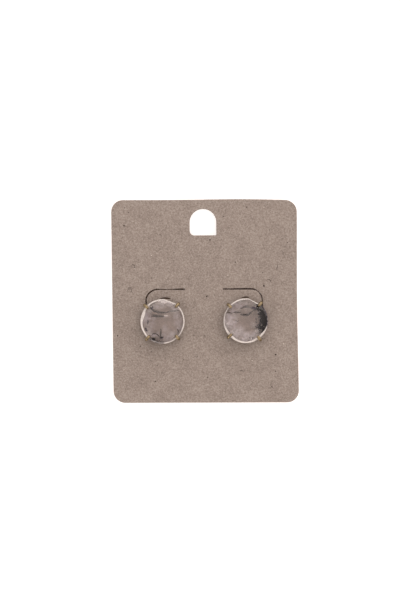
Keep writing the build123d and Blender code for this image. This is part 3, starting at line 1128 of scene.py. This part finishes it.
def polished_quartz():
    """Rock crystal, tumbled to a gloss: almost clear, blackened where mineral reaches the surface."""
    stone = bpy.context.scene.stud_stone
    material, tree, shader = new_material("polished_quartz", {"Roughness": 0.05, "IOR": 1.544})
    where = card_millimetres(tree)
    mineral, milk, _ = stain_channels(tree)
    # Wisps about 1 mm across, swirled together
    swirled = {"Vector": where, "Scale": 0.9, "Detail": 4.0, "Distortion": 1.2}
    wisps = add_node(tree, "TexNoise", swirled).outputs[0]
    wisps = add_node(tree, "MapRange", {0: wisps, 1: 0.35, 2: 0.75, 4: 0.5}).outputs[0]
    veil = add_node(tree, "Math", {0: milk, 1: wisps}, operation="MULTIPLY", use_clamp=True).outputs[0]
    # Veils whiten the crown; beside two claws this is painted light over their shade
    base = add_node(tree, "Mix", {0: veil, 6: opaque(stone.quartz), 7: opaque(stone.milk)}, data_type="RGBA")
    base = add_node(tree, "Mix", {0: mineral, 6: base.outputs[2], 7: opaque(stone.mineral)}, data_type="RGBA")
    tree.links.new(base.outputs[2], shader.inputs["Base Color"])
    # Haze in patches of about 0.7 mm lets less light through
    haze = add_node(tree, "Attribute", attribute_name="haze").outputs["Fac"]
    patches = add_node(tree, "TexNoise", {"Vector": where, "Scale": 1.5, "Detail": 3.0}).outputs[0]
    patches = add_node(tree, "MapRange", {0: patches, 1: 0.3, 2: 0.6, 3: 0.6}).outputs[0]
    haze = add_node(tree, "Math", {0: haze, 1: patches}, operation="MULTIPLY").outputs[0]
    through = add_node(tree, "MapRange", {0: haze, 3: 0.95, 4: 0.45}).outputs[0]
    tree.links.new(through, shader.inputs["Transmission Weight"])
    # Lap marks about 2 mm apart, only just felt in the gloss
    marks = add_node(tree, "TexNoise", {"Vector": where, "Scale": 0.5, "Detail": 1.0}).outputs[0]
    bump = add_node(tree, "Bump", {"Height": marks, "Distance": 0.00001, "Strength": 0.5})
    tree.links.new(bump.outputs[0], shader.inputs["Normal"])
    return material


def ground_quartz_edge(name, clearness):
    """Quartz ground on a wheel and left matt: frosty, the bevel a bright line and the side more glassy."""
    stone = bpy.context.scene.stud_stone
    values = {"Roughness": 0.5, "IOR": 1.544, "Transmission Weight": clearness}
    material, tree, shader = new_material(name, values)
    where = card_millimetres(tree)
    _, _, stain_and_shade = stain_channels(tree)
    # Grinding marks about 0.3 mm apart
    marks = add_node(tree, "TexNoise", {"Vector": where, "Scale": 3.2, "Detail": 3.0}).outputs[0]
    dim = opaque([c * 0.7 for c in stone.frost])
    patch = add_node(tree, "MapRange", {0: marks, 1: 0.48, 2: 0.78}).outputs[0]
    base = add_node(tree, "Mix", {0: patch, 6: opaque(stone.frost), 7: dim}, data_type="RGBA").outputs[2]
    # The edge darkens towards the mineral colour: the real black mineral, and painted shade away from the
    # lower left
    base = add_node(tree, "Mix", {0: stain_and_shade, 6: base, 7: opaque(stone.mineral)}, data_type="RGBA").outputs[2]
    tree.links.new(base, shader.inputs["Base Color"])
    bump = add_node(tree, "Bump", {"Height": marks, "Distance": 0.00003, "Strength": 0.6})
    tree.links.new(bump.outputs[0], shader.inputs["Normal"])
    return material


def ground_quartz_base():
    """The stone's flat base, ground matt: it blurs what lies behind into one smoky tone with milky clouds."""
    stone = bpy.context.scene.stud_stone
    values = {"Roughness": 0.6, "IOR": 1.544, "Transmission Weight": 0.1}
    material, tree, shader = new_material("ground_quartz_base", values)
    where = card_millimetres(tree)
    mineral, milk, _ = stain_channels(tree)
    # Clouds about 1 mm across
    clouded = {"Vector": where, "Scale": 1.1, "Detail": 5.0, "Roughness": 0.65}
    clouds = add_node(tree, "TexNoise", clouded).outputs[0]
    clouds = add_node(tree, "MapRange", {0: clouds, 1: 0.3, 2: 0.7}).outputs[0]
    tone = opaque(stone.base_tone)
    pale = opaque([min(1.0, c * 1.5) for c in stone.base_tone])
    base = add_node(tree, "Mix", {0: clouds, 6: tone, 7: pale}, data_type="RGBA").outputs[2]
    # Milky veils, and beside two claws painted light over their shade
    base = add_node(tree, "Mix", {0: milk, 6: base, 7: opaque(stone.milk)}, data_type="RGBA").outputs[2]
    base = add_node(tree, "Mix", {0: mineral, 6: base, 7: opaque(stone.mineral)}, data_type="RGBA").outputs[2]
    tree.links.new(base, shader.inputs["Base Color"])
    # Grit marks about 0.12 mm apart
    grit = add_node(tree, "TexNoise", {"Vector": where, "Scale": 8.0, "Detail": 2.0}).outputs[0]
    bump = add_node(tree, "Bump", {"Height": grit, "Distance": 0.00002, "Strength": 0.5})
    tree.links.new(bump.outputs[0], shader.inputs["Normal"])
    return material


# ---------------------------------------------------------------- inclusions

# Lines enclosed in each stone: finish, weight, depth under the crown in mm, and the places they run through
# across and up the stone. Finishes are 0 dark needle, 1 black mineral, 2 bright crack.
LINES = {
    "left": (
        (
            0, 0.105, 0.2,
            ((-3.3, 4.0), (-2.9, 3.5), (-2.4, 3.0), (-1.8, 2.7), (-0.8, 2.45), (0.3, 2.35), (1.0, 2.4)),
        ),
        (0, 0.08, 0.2, ((1.0, 2.4), (1.9, 2.65), (2.7, 2.8), (3.4, 2.8), (4.4, 2.95))),
        (1, 0.1, 0.1, ((-2.7, 4.1), (-2.5, 3.85), (-2.75, 3.55), (-2.6, 3.3))),
        (2, 0.09, 0.25, ((-3.1, 4.0), (-2.95, 3.8), (-2.5, 3.45))),
        (2, 0.05, 0.3, ((-2.4, 3.9), (-2.3, 3.6), (-2.0, 3.3))),
        (0, 0.1, 0.1, ((-2.95, 1.44), (-1.9, 1.42), (-0.9, 1.4), (0.1, 1.38), (0.65, 1.4))),
        (0, 0.035, 0.25, ((-2.7, 1.75), (-1.9, 1.72), (-1.2, 1.7))),
        (2, 0.1, 0.12, ((0.45, 1.5), (0.95, 1.52), (1.6, 1.5))),
        (1, 0.07, 0.1, ((-3.85, 0.45), (-3.82, -0.1), (-3.9, -0.8))),
        (1, 0.105, 0.1, ((-4.5, -1.6), (-4.32, -2.1), (-4.0, -2.7))),
        (0, 0.07, 0.4, ((-0.4, -1.85), (-0.38, -2.8), (-0.42, -3.6), (-0.4, -4.3))),
        (
            0, 0.065, 0.4,
            ((-2.9, -3.6), (-2.4, -3.25), (-1.9, -3.2), (-1.3, -3.5), (-0.9, -3.95), (-0.5, -4.35)),
        ),
        (1, 0.09, 0.3, ((-0.7, -4.35), (-0.2, -4.25), (0.3, -4.2))),
        (2, 0.04, 0.5, ((2.0, -4.6), (2.6, -4.3), (3.3, -3.6))),
        (0, 0.04, 0.5, ((3.9, -1.9), (4.2, -2.6), (4.0, -3.1))),
    ),
    "right": (
        (0, 0.105, 0.14, ((-1.5, 3.35), (-0.9, 3.45), (-0.4, 3.72), (0.2, 3.78), (0.8, 3.65), (1.3, 3.5))),
        (2, 0.03, 0.35, ((-0.4, 3.5), (0.2, 3.65), (0.7, 3.75))),
        (1, 0.135, 0.12, ((1.2, 3.55), (2.1, 3.35), (3.1, 3.1))),
        (0, 0.05, 0.3, ((-5.0, 2.15), (-4.5, 2.25), (-3.8, 2.1))),
        (0, 0.085, 0.1, ((-3.3, 2.25), (-2.4, 2.33), (-1.3, 2.25))),
        (0, 0.13, 0.1, ((-1.6, 1.75), (-0.6, 1.65), (0.4, 1.6), (1.0, 1.75))),
        (0, 0.1, 0.12, ((0.8, 1.7), (1.15, 2.1), (1.5, 2.4))),
        (0, 0.05, 0.12, ((1.4, 2.35), (2.0, 2.65), (2.8, 2.9))),
        (0, 0.03, 0.4, ((-2.8, 0.2), (-2.3, -0.05), (-1.8, 0.1))),
        (1, 0.06, 0.3, ((3.0, -1.0), (3.2, -1.6), (2.9, -2.0))),
        (1, 0.05, 0.3, ((3.9, -2.3), (3.5, -2.8), (3.7, -3.2))),
        (0, 0.05, 0.3, ((1.1, -4.3), (1.0, -4.8))),
        (1, 0.08, 0.2, ((1.8, -4.45), (1.95, -5.0))),
        (2, 0.07, 0.2, ((2.2, -4.8), (2.6, -4.95), (3.0, -4.7))),
    ),
}
# A line's half width in mm for each unit of its weight, and its half height as a share of that
LINE_WIDTH = 2.5
LINE_HEIGHT = 0.35
# Bright grains in each stone, set where glints show: bright inclusions that also stand as painted glints.
# Place across and up it, and size, in mm
GLINT_GRAINS = {
    "left": (
        (-4.75, 3.05, 0.3), (-3.7, -4.0, 0.28),
    ),
    "right": (
        (-5.0, -0.65, 0.42), (1.45, -5.3, 0.5), (0.65, -5.35, 0.4), (-1.6, -4.55, 0.3), (2.0, -0.8, 0.26),
    ),
}
# How deep the bright glint grains and the black grains lie under the crown, in mm
GLINT_GRAIN_DEPTH = 0.2
BEAD_DEPTH = 0.28
# Number of black flakes in the right-hand stone, how far from its middle they reach in mm, and the share of
# them that stray into the clear quartz
FLAKE_COUNT = 560
FLAKE_REACH = 5.45
FLAKE_STRAYS = 0.04
# Black grains under the left-hand stone's edge: place across and up it, and size, in mm
BEADS = (
    (-2.75, -4.75, 0.45), (-2.3, -5.0, 0.55), (-2.0, -4.7, 0.42), (-1.75, -5.15, 0.34), (-1.35, -4.9, 0.26),
    (-1.2, -5.25, 0.26), (-0.8, -5.1, 0.24), (-0.45, -5.35, 0.26), (-0.1, -5.1, 0.24), (0.2, -5.3, 0.26),
    (-2.95, -4.4, 0.24), (-0.6, -4.6, 0.28),
)


def enclosed_height(side, x, y, depth):
    """Height over the card of a place a given depth under a stone's skin."""
    stone = bpy.context.scene.stud_stone
    turn, radius = math.atan2(y, x), math.hypot(x, y)
    rim = outline_radius(side, turn)
    bevel = read_table(BEVEL_WIDTHS[side], math.degrees(turn), 360)
    if radius <= rim - bevel:
        return dome_height(radius) - depth
    share = min((radius - rim + bevel) / bevel, 1.0)
    return dome_height(rim - bevel) * (1 - share) + stone.bevel_z * share - depth


def line_shape(side, weight, depth, corners):
    """A flat, tapering needle or crack under the crown, its edges uneven at about 0.3 mm."""
    route = smooth_route([(x, y, 0) for x, y in corners], 7)
    last = len(route) - 1
    lying = [(p.x, p.y, enclosed_height(side, p.x, p.y, depth)) for p in route]
    widths = []
    for i, p in enumerate(route):
        taper = 0.3 + 0.7 * max(math.sin(math.pi * i / last), 0.0) ** 0.6
        widths.append(LINE_WIDTH * weight * taper * (1 + 0.3 * noise.noise((p.x * 3, p.y * 3, depth))))
    return wire(lying, widths, [LINE_HEIGHT * width for width in widths], sides=8)


def grain_shape(draw, side, x, y, size, depth, tilt=0.5):
    """A small, flat, broken grain under the crown."""
    middle = Vector((x, y, enclosed_height(side, x, y, depth)))
    turn = Matrix.Rotation(draw.uniform(0, math.pi), 3, "Z")
    turn = turn @ Matrix.Rotation(draw.uniform(-tilt, tilt), 3, "X")
    radii = [size / 2 * draw.uniform(0.55, 1.2) for _ in range(7)]
    rings = []
    for rise, share in ((-0.09, 0.55), (-0.03, 1.0), (0.04, 0.95), (0.1, 0.5)):
        ring = []
        for i, radius in enumerate(radii):
            angle, reach = 2 * math.pi * i / len(radii), radius * share
            flat = Vector((reach * math.cos(angle) * 1.2, reach * math.sin(angle) * 0.8, rise * size))
            ring.append(tuple(middle + turn @ flat))
        rings.append(ring)
    return loft(rings)


def mineral_flakes(draw):
    """Black flakes that fill the right-hand stone's mineral, thinning out at its ragged border."""
    shapes = []
    while len(shapes) < FLAKE_COUNT:
        x, y = draw.uniform(2.6, 5.6), draw.uniform(-3.6, 4.4)
        if math.hypot(x, y) > FLAKE_REACH or draw.random() > mineral_at("right", x, y) + FLAKE_STRAYS:
            continue
        size, depth = draw.uniform(0.16, 0.5), draw.uniform(0.16, 0.6)
        shapes.append(grain_shape(draw, "right", x, y, size, depth, 0.7))
    return shapes


class STUDS_OT_inclusions(bpy.types.Operator):
    """Makes the needles, cracks, grains and black flakes enclosed in the stones"""

    bl_idname = "studs.inclusions"
    bl_label = "Inclusions"

    def execute(self, context):
        finishes = [rutile_needle(), manganese_flake(), healed_crack_and_glint()]
        for side in SIDES:
            draw = random.Random(f"inclusions {side}")
            made = [(finish, line_shape(side, *line)) for finish, *line in LINES[side]]
            # The bright grains stand as painted glints as well as inclusions
            made += [(2, grain_shape(draw, side, *grain, GLINT_GRAIN_DEPTH)) for grain in GLINT_GRAINS[side]]
            if side == "left":
                made += [(1, grain_shape(draw, side, *bead, BEAD_DEPTH)) for bead in BEADS]
            else:
                made += [(1, flake) for flake in mineral_flakes(draw)]
            slots = [finish for finish, shape in made for _ in shape[1]]
            shape = joined([shape for _, shape in made])
            make_piece(f"inclusions_{side}", shape, finishes, slots, stud_origin(side))
        return {"FINISHED"}


def mineral_finish(name, tone, shine, roughness):
    """A mineral enclosed in quartz: one tone, clouded at about 0.4 mm, with broken facets."""
    material, tree, shader = new_material(name, {"Roughness": roughness})
    where = card_millimetres(tree)
    clouds = add_node(tree, "TexNoise", {"Vector": where, "Scale": 2.5, "Detail": 3.0}).outputs[0]
    clouds = add_node(tree, "MapRange", {0: clouds, 1: 0.4, 2: 0.7}).outputs[0]
    mixed = add_node(tree, "Mix", {0: clouds, 6: opaque(tone), 7: opaque(shine)}, data_type="RGBA").outputs[2]
    tree.links.new(mixed, shader.inputs["Base Color"])
    bump = add_node(tree, "Bump", {"Height": clouds, "Distance": 0.00003, "Strength": 0.6})
    tree.links.new(bump.outputs[0], shader.inputs["Normal"])
    return material


def rutile_needle():
    """Rutile needles: dark grey-brown hairs, a little shiny."""
    tone = bpy.context.scene.stud_stone.needle
    return mineral_finish("rutile_needle", tone, [c * 1.6 for c in tone], 0.4)


def manganese_flake():
    """Manganese oxide dendrites: blue-black broken flakes with a faint glint."""
    return mineral_finish("manganese_flake", bpy.context.scene.stud_stone.mineral, linear("43384f"), 0.35)


def healed_crack_and_glint():
    """Healed cracks: thin bright films that scatter the light; as bright grains they also stand as painted
    glints.
    """
    tone = bpy.context.scene.stud_stone.crack
    return mineral_finish("healed_crack_and_glint", tone, [c * 0.8 for c in tone], 0.5)


# ---------------------------------------------------------------- settings

# Angles of the four claws round each stone, in degrees anticlockwise from the card's X
CLAW_ANGLES = {"left": (47, 137, 228, 313), "right": (49, 137, 223, 307)}
# A claw from inside the base ring to its tip on the crown: radius and height of its middle line, half width
# and half thickness, in mm
CLAW_ROUTE = (
    (4.5, 0.4, 0.46, 0.46),
    (5.0, 0.95, 0.46, 0.45),
    (5.75, 1.66, 0.45, 0.44),
    (6.2, 2.15, 0.44, 0.43),
    (6.42, 2.6, 0.43, 0.42),
    (6.48, 3.1, 0.43, 0.42),
    (6.4, 3.52, 0.43, 0.42),
    (6.1, 3.82, 0.43, 0.4),
    (5.7, 3.93, 0.42, 0.36),
    (5.38, 3.92, 0.38, 0.3),
    (5.16, 3.88, 0.28, 0.2),
)


# Height of the ear post's domed tip, in mm
POST_DOME = 0.3
# Where the post's finish changes, hidden in the ear nut's plate: its height over the card's face, in mm
FINISH_CHANGE = -0.8


def claw_shape(angle):
    """One claw: a round wire that leans out, stands beside the stone and is pressed over its crown."""
    out = Vector((math.cos(math.radians(angle)), math.sin(math.radians(angle)), 0))
    across = Vector((0, 0, 1)).cross(out)
    fullness = bpy.context.scene.stud_metal.claw_fullness
    rows = smooth_route(CLAW_ROUTE, 6)
    middle = [tuple(out * row[0] + Vector((0, 0, row[1]))) for row in rows]
    widths = [fullness * row[2] for row in rows]
    return wire(middle, widths, [fullness * row[3] for row in rows], sides=20, flat=across)


def ring_section(radius, height, width):
    """A ring's rounded strip, as (radius, height) points."""
    metal = bpy.context.scene.stud_metal
    return [(radius + x, height + z) for x, z in rounded_box(width, metal.ring_height, metal.rounding)]


def post_profile():
    """The ear post's radius and height from its foot to its domed tip, with its friction notch."""
    metal = bpy.context.scene.stud_metal
    r, tip = metal.post_radius, -metal.post_length
    rows = [(r, metal.ring_height / 2), (r, -metal.notch_start)]
    for i in range(1, 9):
        share = i / 9
        cut = metal.notch_depth * math.sin(math.pi * share) ** 0.8
        rows.append((r - cut, -metal.notch_start - metal.notch_length * share))
    rows.append((r, -metal.notch_start - metal.notch_length))
    for degrees in range(0, 90, 12):
        turn = math.radians(degrees)
        rows.append((r * math.cos(turn), tip + POST_DOME - POST_DOME * math.sin(turn)))
    rows.append((0.02, tip))
    return rows


def solder_profile():
    """The solder that ran out round the post's foot: flat against the card, hollow-sided above."""
    metal = bpy.context.scene.stud_metal
    r, foot, top = metal.pad_radius, metal.clearance, metal.pad_height
    return [(0.5, top), (0.7, top * 0.93), (0.92 * r, top * 0.72), (r, top * 0.42), (0.98 * r, foot)]


def clear_of_stone(points, room):
    """Moves any point inside the stone, or within that much room of it, out through its nearest face."""
    stone = bpy.context.scene.stud_stone
    p = np.array(points)
    radius = np.hypot(p[:, 0], p[:, 1])
    rise = stone.top_z - stone.crown_z
    ball = (stone.crown_radius**2 + rise**2) / (2 * rise)
    centre = stone.top_z - ball
    base_radius = stone.radius - stone.chamfer
    # For each wall of the stone's section, then its crown: how far outside it every point is, and the way out
    walls = []
    for (r0, z0), (r1, z1) in (
        ((0.0, stone.base_z), (base_radius, stone.base_z)),
        ((base_radius, stone.base_z), (stone.radius, stone.girdle_z)),
        ((stone.radius, stone.girdle_z), (stone.radius, stone.bevel_z)),
        ((stone.radius, stone.bevel_z), (stone.crown_radius, stone.crown_z)),
    ):
        long_way = math.hypot(r1 - r0, z1 - z0)
        out_r, out_z = (z1 - z0) / long_way, -(r1 - r0) / long_way
        away = (radius - r0) * out_r + (p[:, 2] - z0) * out_z
        walls.append((away, np.full(len(p), out_r), np.full(len(p), out_z)))
    reach = np.hypot(radius, p[:, 2] - centre)
    walls.append((reach - ball, radius / reach, (p[:, 2] - centre) / reach))
    away = np.array([wall[0] for wall in walls])
    nearest = away.argmax(0)
    rows = np.arange(len(p))
    step = np.maximum(room - away.max(0), 0)
    step_r = step * np.array([wall[1] for wall in walls])[nearest, rows]
    step_z = step * np.array([wall[2] for wall in walls])[nearest, rows]
    scale = (radius + step_r) / np.maximum(radius, 1e-6)
    return list(zip(p[:, 0] * scale, p[:, 1] * scale, p[:, 2] + step_z))


class STUDS_OT_settings(bpy.types.Operator):
    """Makes the two claw settings with their rings, cross bar, solder and ear post"""

    bl_idname = "studs.settings"
    bl_label = "Claw Settings"

    def execute(self, context):
        metal, stone = context.scene.stud_metal, context.scene.stud_stone
        base_z = metal.clearance + metal.ring_height / 2
        seat_z = stone.base_z - metal.clearance - metal.ring_height / 2
        finishes = [handled_gold_plate(), drawn_gold_wire()]
        # The cross bar flares where it is soldered to the base ring
        bar = [(x, 0, base_z) for x in np.linspace(-metal.base_ring, metal.base_ring, 24)]
        bar_widths = [metal.bar_width / 2 * (1.02 + 0.3 * abs(x / metal.base_ring) ** 6) for x, _, _ in bar]
        bar_heights = [metal.bar_height / 2 * 1.1] * len(bar)
        for side in SIDES:
            shapes = [
                turned(ring_section(metal.base_ring, base_z, metal.base_width)),
                turned(ring_section(metal.seat_ring, seat_z, metal.seat_width)),
                wire(bar, bar_widths, bar_heights, sides=16, flat=(0, 1, 0)),
                stacked(solder_profile(), wobble=0.06),
                stacked(post_profile()),
            ]
            shapes += [claw_shape(angle) for angle in CLAW_ANGLES[side]]
            points, faces = melted(shapes, metal.grain, passes=3)
            # The melted skin keeps at least 0.7 of the clearance from the stone
            points = clear_of_stone(points, metal.clearance * 0.7)
            slots = [1 if points[face[0]][2] < FINISH_CHANGE else 0 for face in faces]
            piece = make_piece(f"setting_{side}_gold", (points, faces), finishes, slots, stud_origin(side))
            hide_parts(f"setting_{side}")
        return {"FINISHED"}


def gold_plate(name, tones, roughness, second_tone_heights):
    """Gold plate in two tones, clouded at about 1 mm.

    The second tone takes over from the higher to the lower of two heights over the card's face, in mm.
    """
    material, tree, shader = new_material(name, {"Metallic": 1.0})
    where = card_millimetres(tree)
    clouds = add_node(tree, "TexNoise", {"Vector": where, "Scale": 0.9, "Detail": 4.0}).outputs[0]
    height = add_node(tree, "SeparateXYZ", {0: where}).outputs[2]
    low, high = second_tone_heights
    # Below the heights the second tone takes over: painted shade towards the card in the setting, the handled
    # tip's tone on the post
    sunk = add_node(tree, "MapRange", {0: height, 1: high, 2: low}).outputs[0]
    patch = add_node(tree, "MapRange", {0: clouds, 1: 0.45, 2: 0.72, 4: 0.6}).outputs[0]
    second_tone = add_node(tree, "Math", {0: sunk, 1: patch}, operation="MAXIMUM").outputs[0]
    blend = {0: second_tone, 6: opaque(tones[0]), 7: opaque(tones[1])}
    mixed = add_node(tree, "Mix", blend, data_type="RGBA").outputs[2]
    tree.links.new(mixed, shader.inputs["Base Color"])
    rough = add_node(tree, "MapRange", {0: second_tone, 3: roughness[0], 4: roughness[1]}).outputs[0]
    tree.links.new(rough, shader.inputs["Roughness"])
    # Rubbing marks about 0.2 mm apart
    rubbed = {"Vector": where, "Scale": 5.0, "Detail": 3.0, "Roughness": 0.65}
    marks = add_node(tree, "TexNoise", rubbed).outputs[0]
    bump = add_node(tree, "Bump", {"Height": marks, "Distance": 0.00001, "Strength": 0.5})
    tree.links.new(bump.outputs[0], shader.inputs["Normal"])
    return material


def handled_gold_plate():
    """Gold plate on soldered brass, handled: pale on the claws, tarnished in patches, and darker towards the
    card as painted shade.
    """
    metal = bpy.context.scene.stud_metal
    # From 3.4 mm down to 1.6 mm over the card the setting darkens as painted shade
    return gold_plate("handled_gold_plate", (metal.gold, metal.gold_tarnish_and_shade), (0.27, 0.42), (1.6, 3.4))


def drawn_gold_wire():
    """Gold plate on drawn brass wire: brighter along the shank than at the handled tip."""
    metal = bpy.context.scene.stud_metal
    return gold_plate("drawn_gold_wire", (metal.gold_wire, metal.gold), (0.22, 0.34), (-9.8, -7.2))


def tumbled_gold_plate():
    """Gold plate on stamped brass strip, tumbled bright: even, with a soft satin gloss."""
    metal = bpy.context.scene.stud_metal
    return gold_plate("tumbled_gold_plate", (metal.gold_bright, metal.gold), (0.2, 0.32), (-12.0, -9.0))


# ---------------------------------------------------------------- ear nuts


# The collar pressed up round the ear nut's post hole: its middle's distance from the hole's edge, width,
# height and rounding, in mm
COLLAR = (0.13, 0.24, 0.34, 0.11)


def nut_route():
    """The strip's middle line as (across, height) points, from one curled end to the other."""
    card, metal = bpy.context.scene.stud_card, bpy.context.scene.stud_metal
    top = -card.thickness - metal.clearance - metal.nut_strip / 2
    curl_x = metal.post_radius + metal.clearance + metal.nut_strip / 2 + metal.nut_curl
    half = [(x, top) for x in np.linspace(0, metal.nut_scroll_x, 10)[:-1]]
    half += arc(metal.nut_scroll_x, top - metal.nut_scroll, metal.nut_scroll, 90, -90, 20)
    floor = top - 2 * metal.nut_scroll
    half += [(x, floor) for x in np.linspace(metal.nut_scroll_x, curl_x, 5)[1:-1]]
    half += arc(curl_x, floor + metal.nut_curl, metal.nut_curl, -90, -300, 18)
    return [(-x, z) for x, z in half[:0:-1]] + half


def nut_shape():
    """The scrolled strip with its post hole and the collar pressed up round it."""
    card, metal = bpy.context.scene.stud_card, bpy.context.scene.stud_metal
    route = nut_route()
    corner_x = metal.nut_scroll_x + metal.nut_scroll + metal.nut_strip / 2 - metal.nut_corner
    last = len(route) - 1
    rings = []
    for i, (x, z) in enumerate(route):
        before, after = Vector(route[max(i - 1, 0)]), Vector(route[min(i + 1, last)])
        along = (after - before).normalized()
        off_x, off_z = -along.y * metal.nut_strip / 2, along.x * metal.nut_strip / 2
        past = min(max(abs(x) - corner_x, 0.0), metal.nut_corner * 0.98)
        half = metal.nut_width / 2 - metal.nut_corner + math.sqrt(metal.nut_corner**2 - past**2)
        rings.append(
            [
                (x + off_x, half, z + off_z),
                (x + off_x, -half, z + off_z),
                (x - off_x, -half, z - off_z),
                (x - off_x, half, z - off_z),
            ]
        )
    hole = metal.post_radius + metal.clearance
    # The post's hole goes right through the plate and the gap between the curls
    strip = drilled(loft(rings), stacked([(hole, 1.0), (hole, -6.0)]))
    collar_z = -card.thickness - metal.clearance - metal.nut_strip
    away, width, height, rounding = COLLAR
    section = [(hole + away + x, collar_z + z) for x, z in rounded_box(width, height, rounding)]
    return melted([strip, turned(section, steps=64)], metal.grain, passes=2)


class STUDS_OT_ear_nuts(bpy.types.Operator):
    """Makes the two scrolled ear nuts behind the card"""

    bl_idname = "studs.ear_nuts"
    bl_label = "Ear Nuts"

    def execute(self, context):
        finish = tumbled_gold_plate()
        for side in SIDES:
            piece = make_piece(f"ear_nut_{side}_gold", nut_shape(), [finish], origin=stud_origin(side))
            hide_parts(f"ear_nut_{side}")
        return {"FINISHED"}


# ---------------------------------------------------------------- stage


def white_surround(stage):
    """A white world with a broad soft glow overhead, a little to the back and right."""
    world = bpy.data.worlds.new("white_surround")
    world.use_nodes = True
    tree = world.node_tree
    tree.nodes.clear()
    way = add_node(tree, "TexCoord").outputs["Generated"]
    glow_way = Vector((0.2, 0.4, 1.0)).normalized()
    near = add_node(tree, "VectorMath", {0: way, 1: glow_way}, operation="DOT_PRODUCT").outputs["Value"]
    fade = {"Value": near, 1: 0.6, 2: 1.0, 3: stage.sky, 4: stage.sky + stage.glow}
    level = add_node(tree, "MapRange", fade, interpolation_type="SMOOTHSTEP").outputs[0]
    surround = add_node(tree, "Background", {"Color": opaque(stage.light), "Strength": level})
    add_node(tree, "OutputWorld", {"Surface": surround.outputs[0]})
    return world


def opal_table(stage):
    """A table top of opal acrylic sheet, satin and lit softly from under it."""
    mesh = bpy.data.meshes.new("table")
    half = stage.table_size / 2
    corners = [(-half, -half, 0), (half, -half, 0), (half, half, 0), (-half, half, 0)]
    mesh.from_pydata(corners, [], [(0, 1, 2, 3)])
    table = bpy.data.objects.new("table", mesh)
    bpy.context.scene.collection.objects.link(table)
    glow = {"Roughness": 0.6, "Emission Color": (1, 1, 1, 1), "Emission Strength": stage.floor_glow}
    material, _, shader = new_material("opal_acrylic", glow)
    shader.inputs["Base Color"].default_value = opaque(stage.floor)
    mesh.materials.append(material)
    return table


def softbox(name, position, size, power, aim):
    """A rectangular softbox that faces a point; its size is across and up, in metres."""
    lamp = bpy.data.lights.new(name, "AREA")
    lamp.shape = "RECTANGLE"
    lamp.size, lamp.size_y = size
    lamp.energy = power
    lamp.color = bpy.context.scene.stud_stage.light
    box = bpy.data.objects.new(name, lamp)
    box.location = position
    box.rotation_euler = (aim - Vector(position)).to_track_quat("-Z", "Y").to_euler()
    bpy.context.scene.collection.objects.link(box)


def square_camera(stage, aim):
    """A camera square over the card's face that looks at a point on it."""
    upright = card_matrix().to_3x3().normalized()
    lens = bpy.data.cameras.new("camera")
    lens.sensor_fit = "VERTICAL"
    lens.sensor_height = 36
    lens.lens = lens.sensor_height * stage.distance / stage.frame_height
    lens.clip_start = 0.01
    camera = bpy.data.objects.new("camera", lens)
    bpy.context.scene.collection.objects.link(camera)
    out = upright @ Vector((0, 0, 1))
    turn = upright @ Matrix.Rotation(-stage.roll, 3, "Z")
    camera.matrix_world = Matrix.Translation(aim + out * stage.distance) @ turn.to_4x4()
    return camera


class STUDS_OT_stage(bpy.types.Operator):
    """Makes the white table, the softboxes, the white surround and the camera"""

    bl_idname = "studs.stage"
    bl_label = "Stage"

    def execute(self, context):
        scene = context.scene
        stage = scene.stud_stage
        scene.view_settings.view_transform = "Standard"
        scene.view_settings.look = "None"
        scene.world = white_surround(stage)
        table = opal_table(stage)
        aim = card_matrix() @ Vector((stage.aim_x, stage.aim_y, 0))
        softbox("key_softbox", (0.3, 1.0, 0.38), (1.4, 0.4), stage.key, aim)
        softbox("fill_softbox", (1.0, 0.2, 0.3), (1.0, 0.4), stage.fill, aim)
        softbox("corner_softbox", (-0.6, -1.0, 0.4), (1.0, 0.4), stage.corner, aim)
        scene.camera = square_camera(stage, aim)
        return {"FINISHED"}


class STUDS_PT_panel(bpy.types.Panel):
    """Lists the pieces and the stage"""

    bl_idname = "STUDS_PT_panel"
    bl_label = "Stud Earrings on a Card"
    bl_space_type = "VIEW_3D"
    bl_region_type = "UI"
    bl_category = "Studs"

    def draw(self, context):
        for operator in OPERATORS:
            self.layout.operator(operator.bl_idname)


SETTINGS = {
    "stud_card": CardSettings,
    "stud_stone": StoneSettings,
    "stud_metal": MetalSettings,
    "stud_stage": StageSettings,
}
OPERATORS = (
    STUDS_OT_card,
    STUDS_OT_flecks,
    STUDS_OT_stones,
    STUDS_OT_inclusions,
    STUDS_OT_settings,
    STUDS_OT_ear_nuts,
    STUDS_OT_stage,
)


def register():
    for kind in (*SETTINGS.values(), *OPERATORS, STUDS_PT_panel):
        bpy.utils.register_class(kind)
    for name, kind in SETTINGS.items():
        setattr(bpy.types.Scene, name, PointerProperty(type=kind))


def unregister():
    for name in SETTINGS:
        delattr(bpy.types.Scene, name)
    for kind in (STUDS_PT_panel, *reversed(OPERATORS), *reversed(SETTINGS.values())):
        bpy.utils.unregister_class(kind)


def main():
    register()
    bpy.ops.studs.card()
    bpy.ops.studs.flecks()
    bpy.ops.studs.stones()
    bpy.ops.studs.inclusions()
    bpy.ops.studs.settings()
    bpy.ops.studs.ear_nuts()
    bpy.ops.studs.stage()


if __name__ == "__main__":
    main()
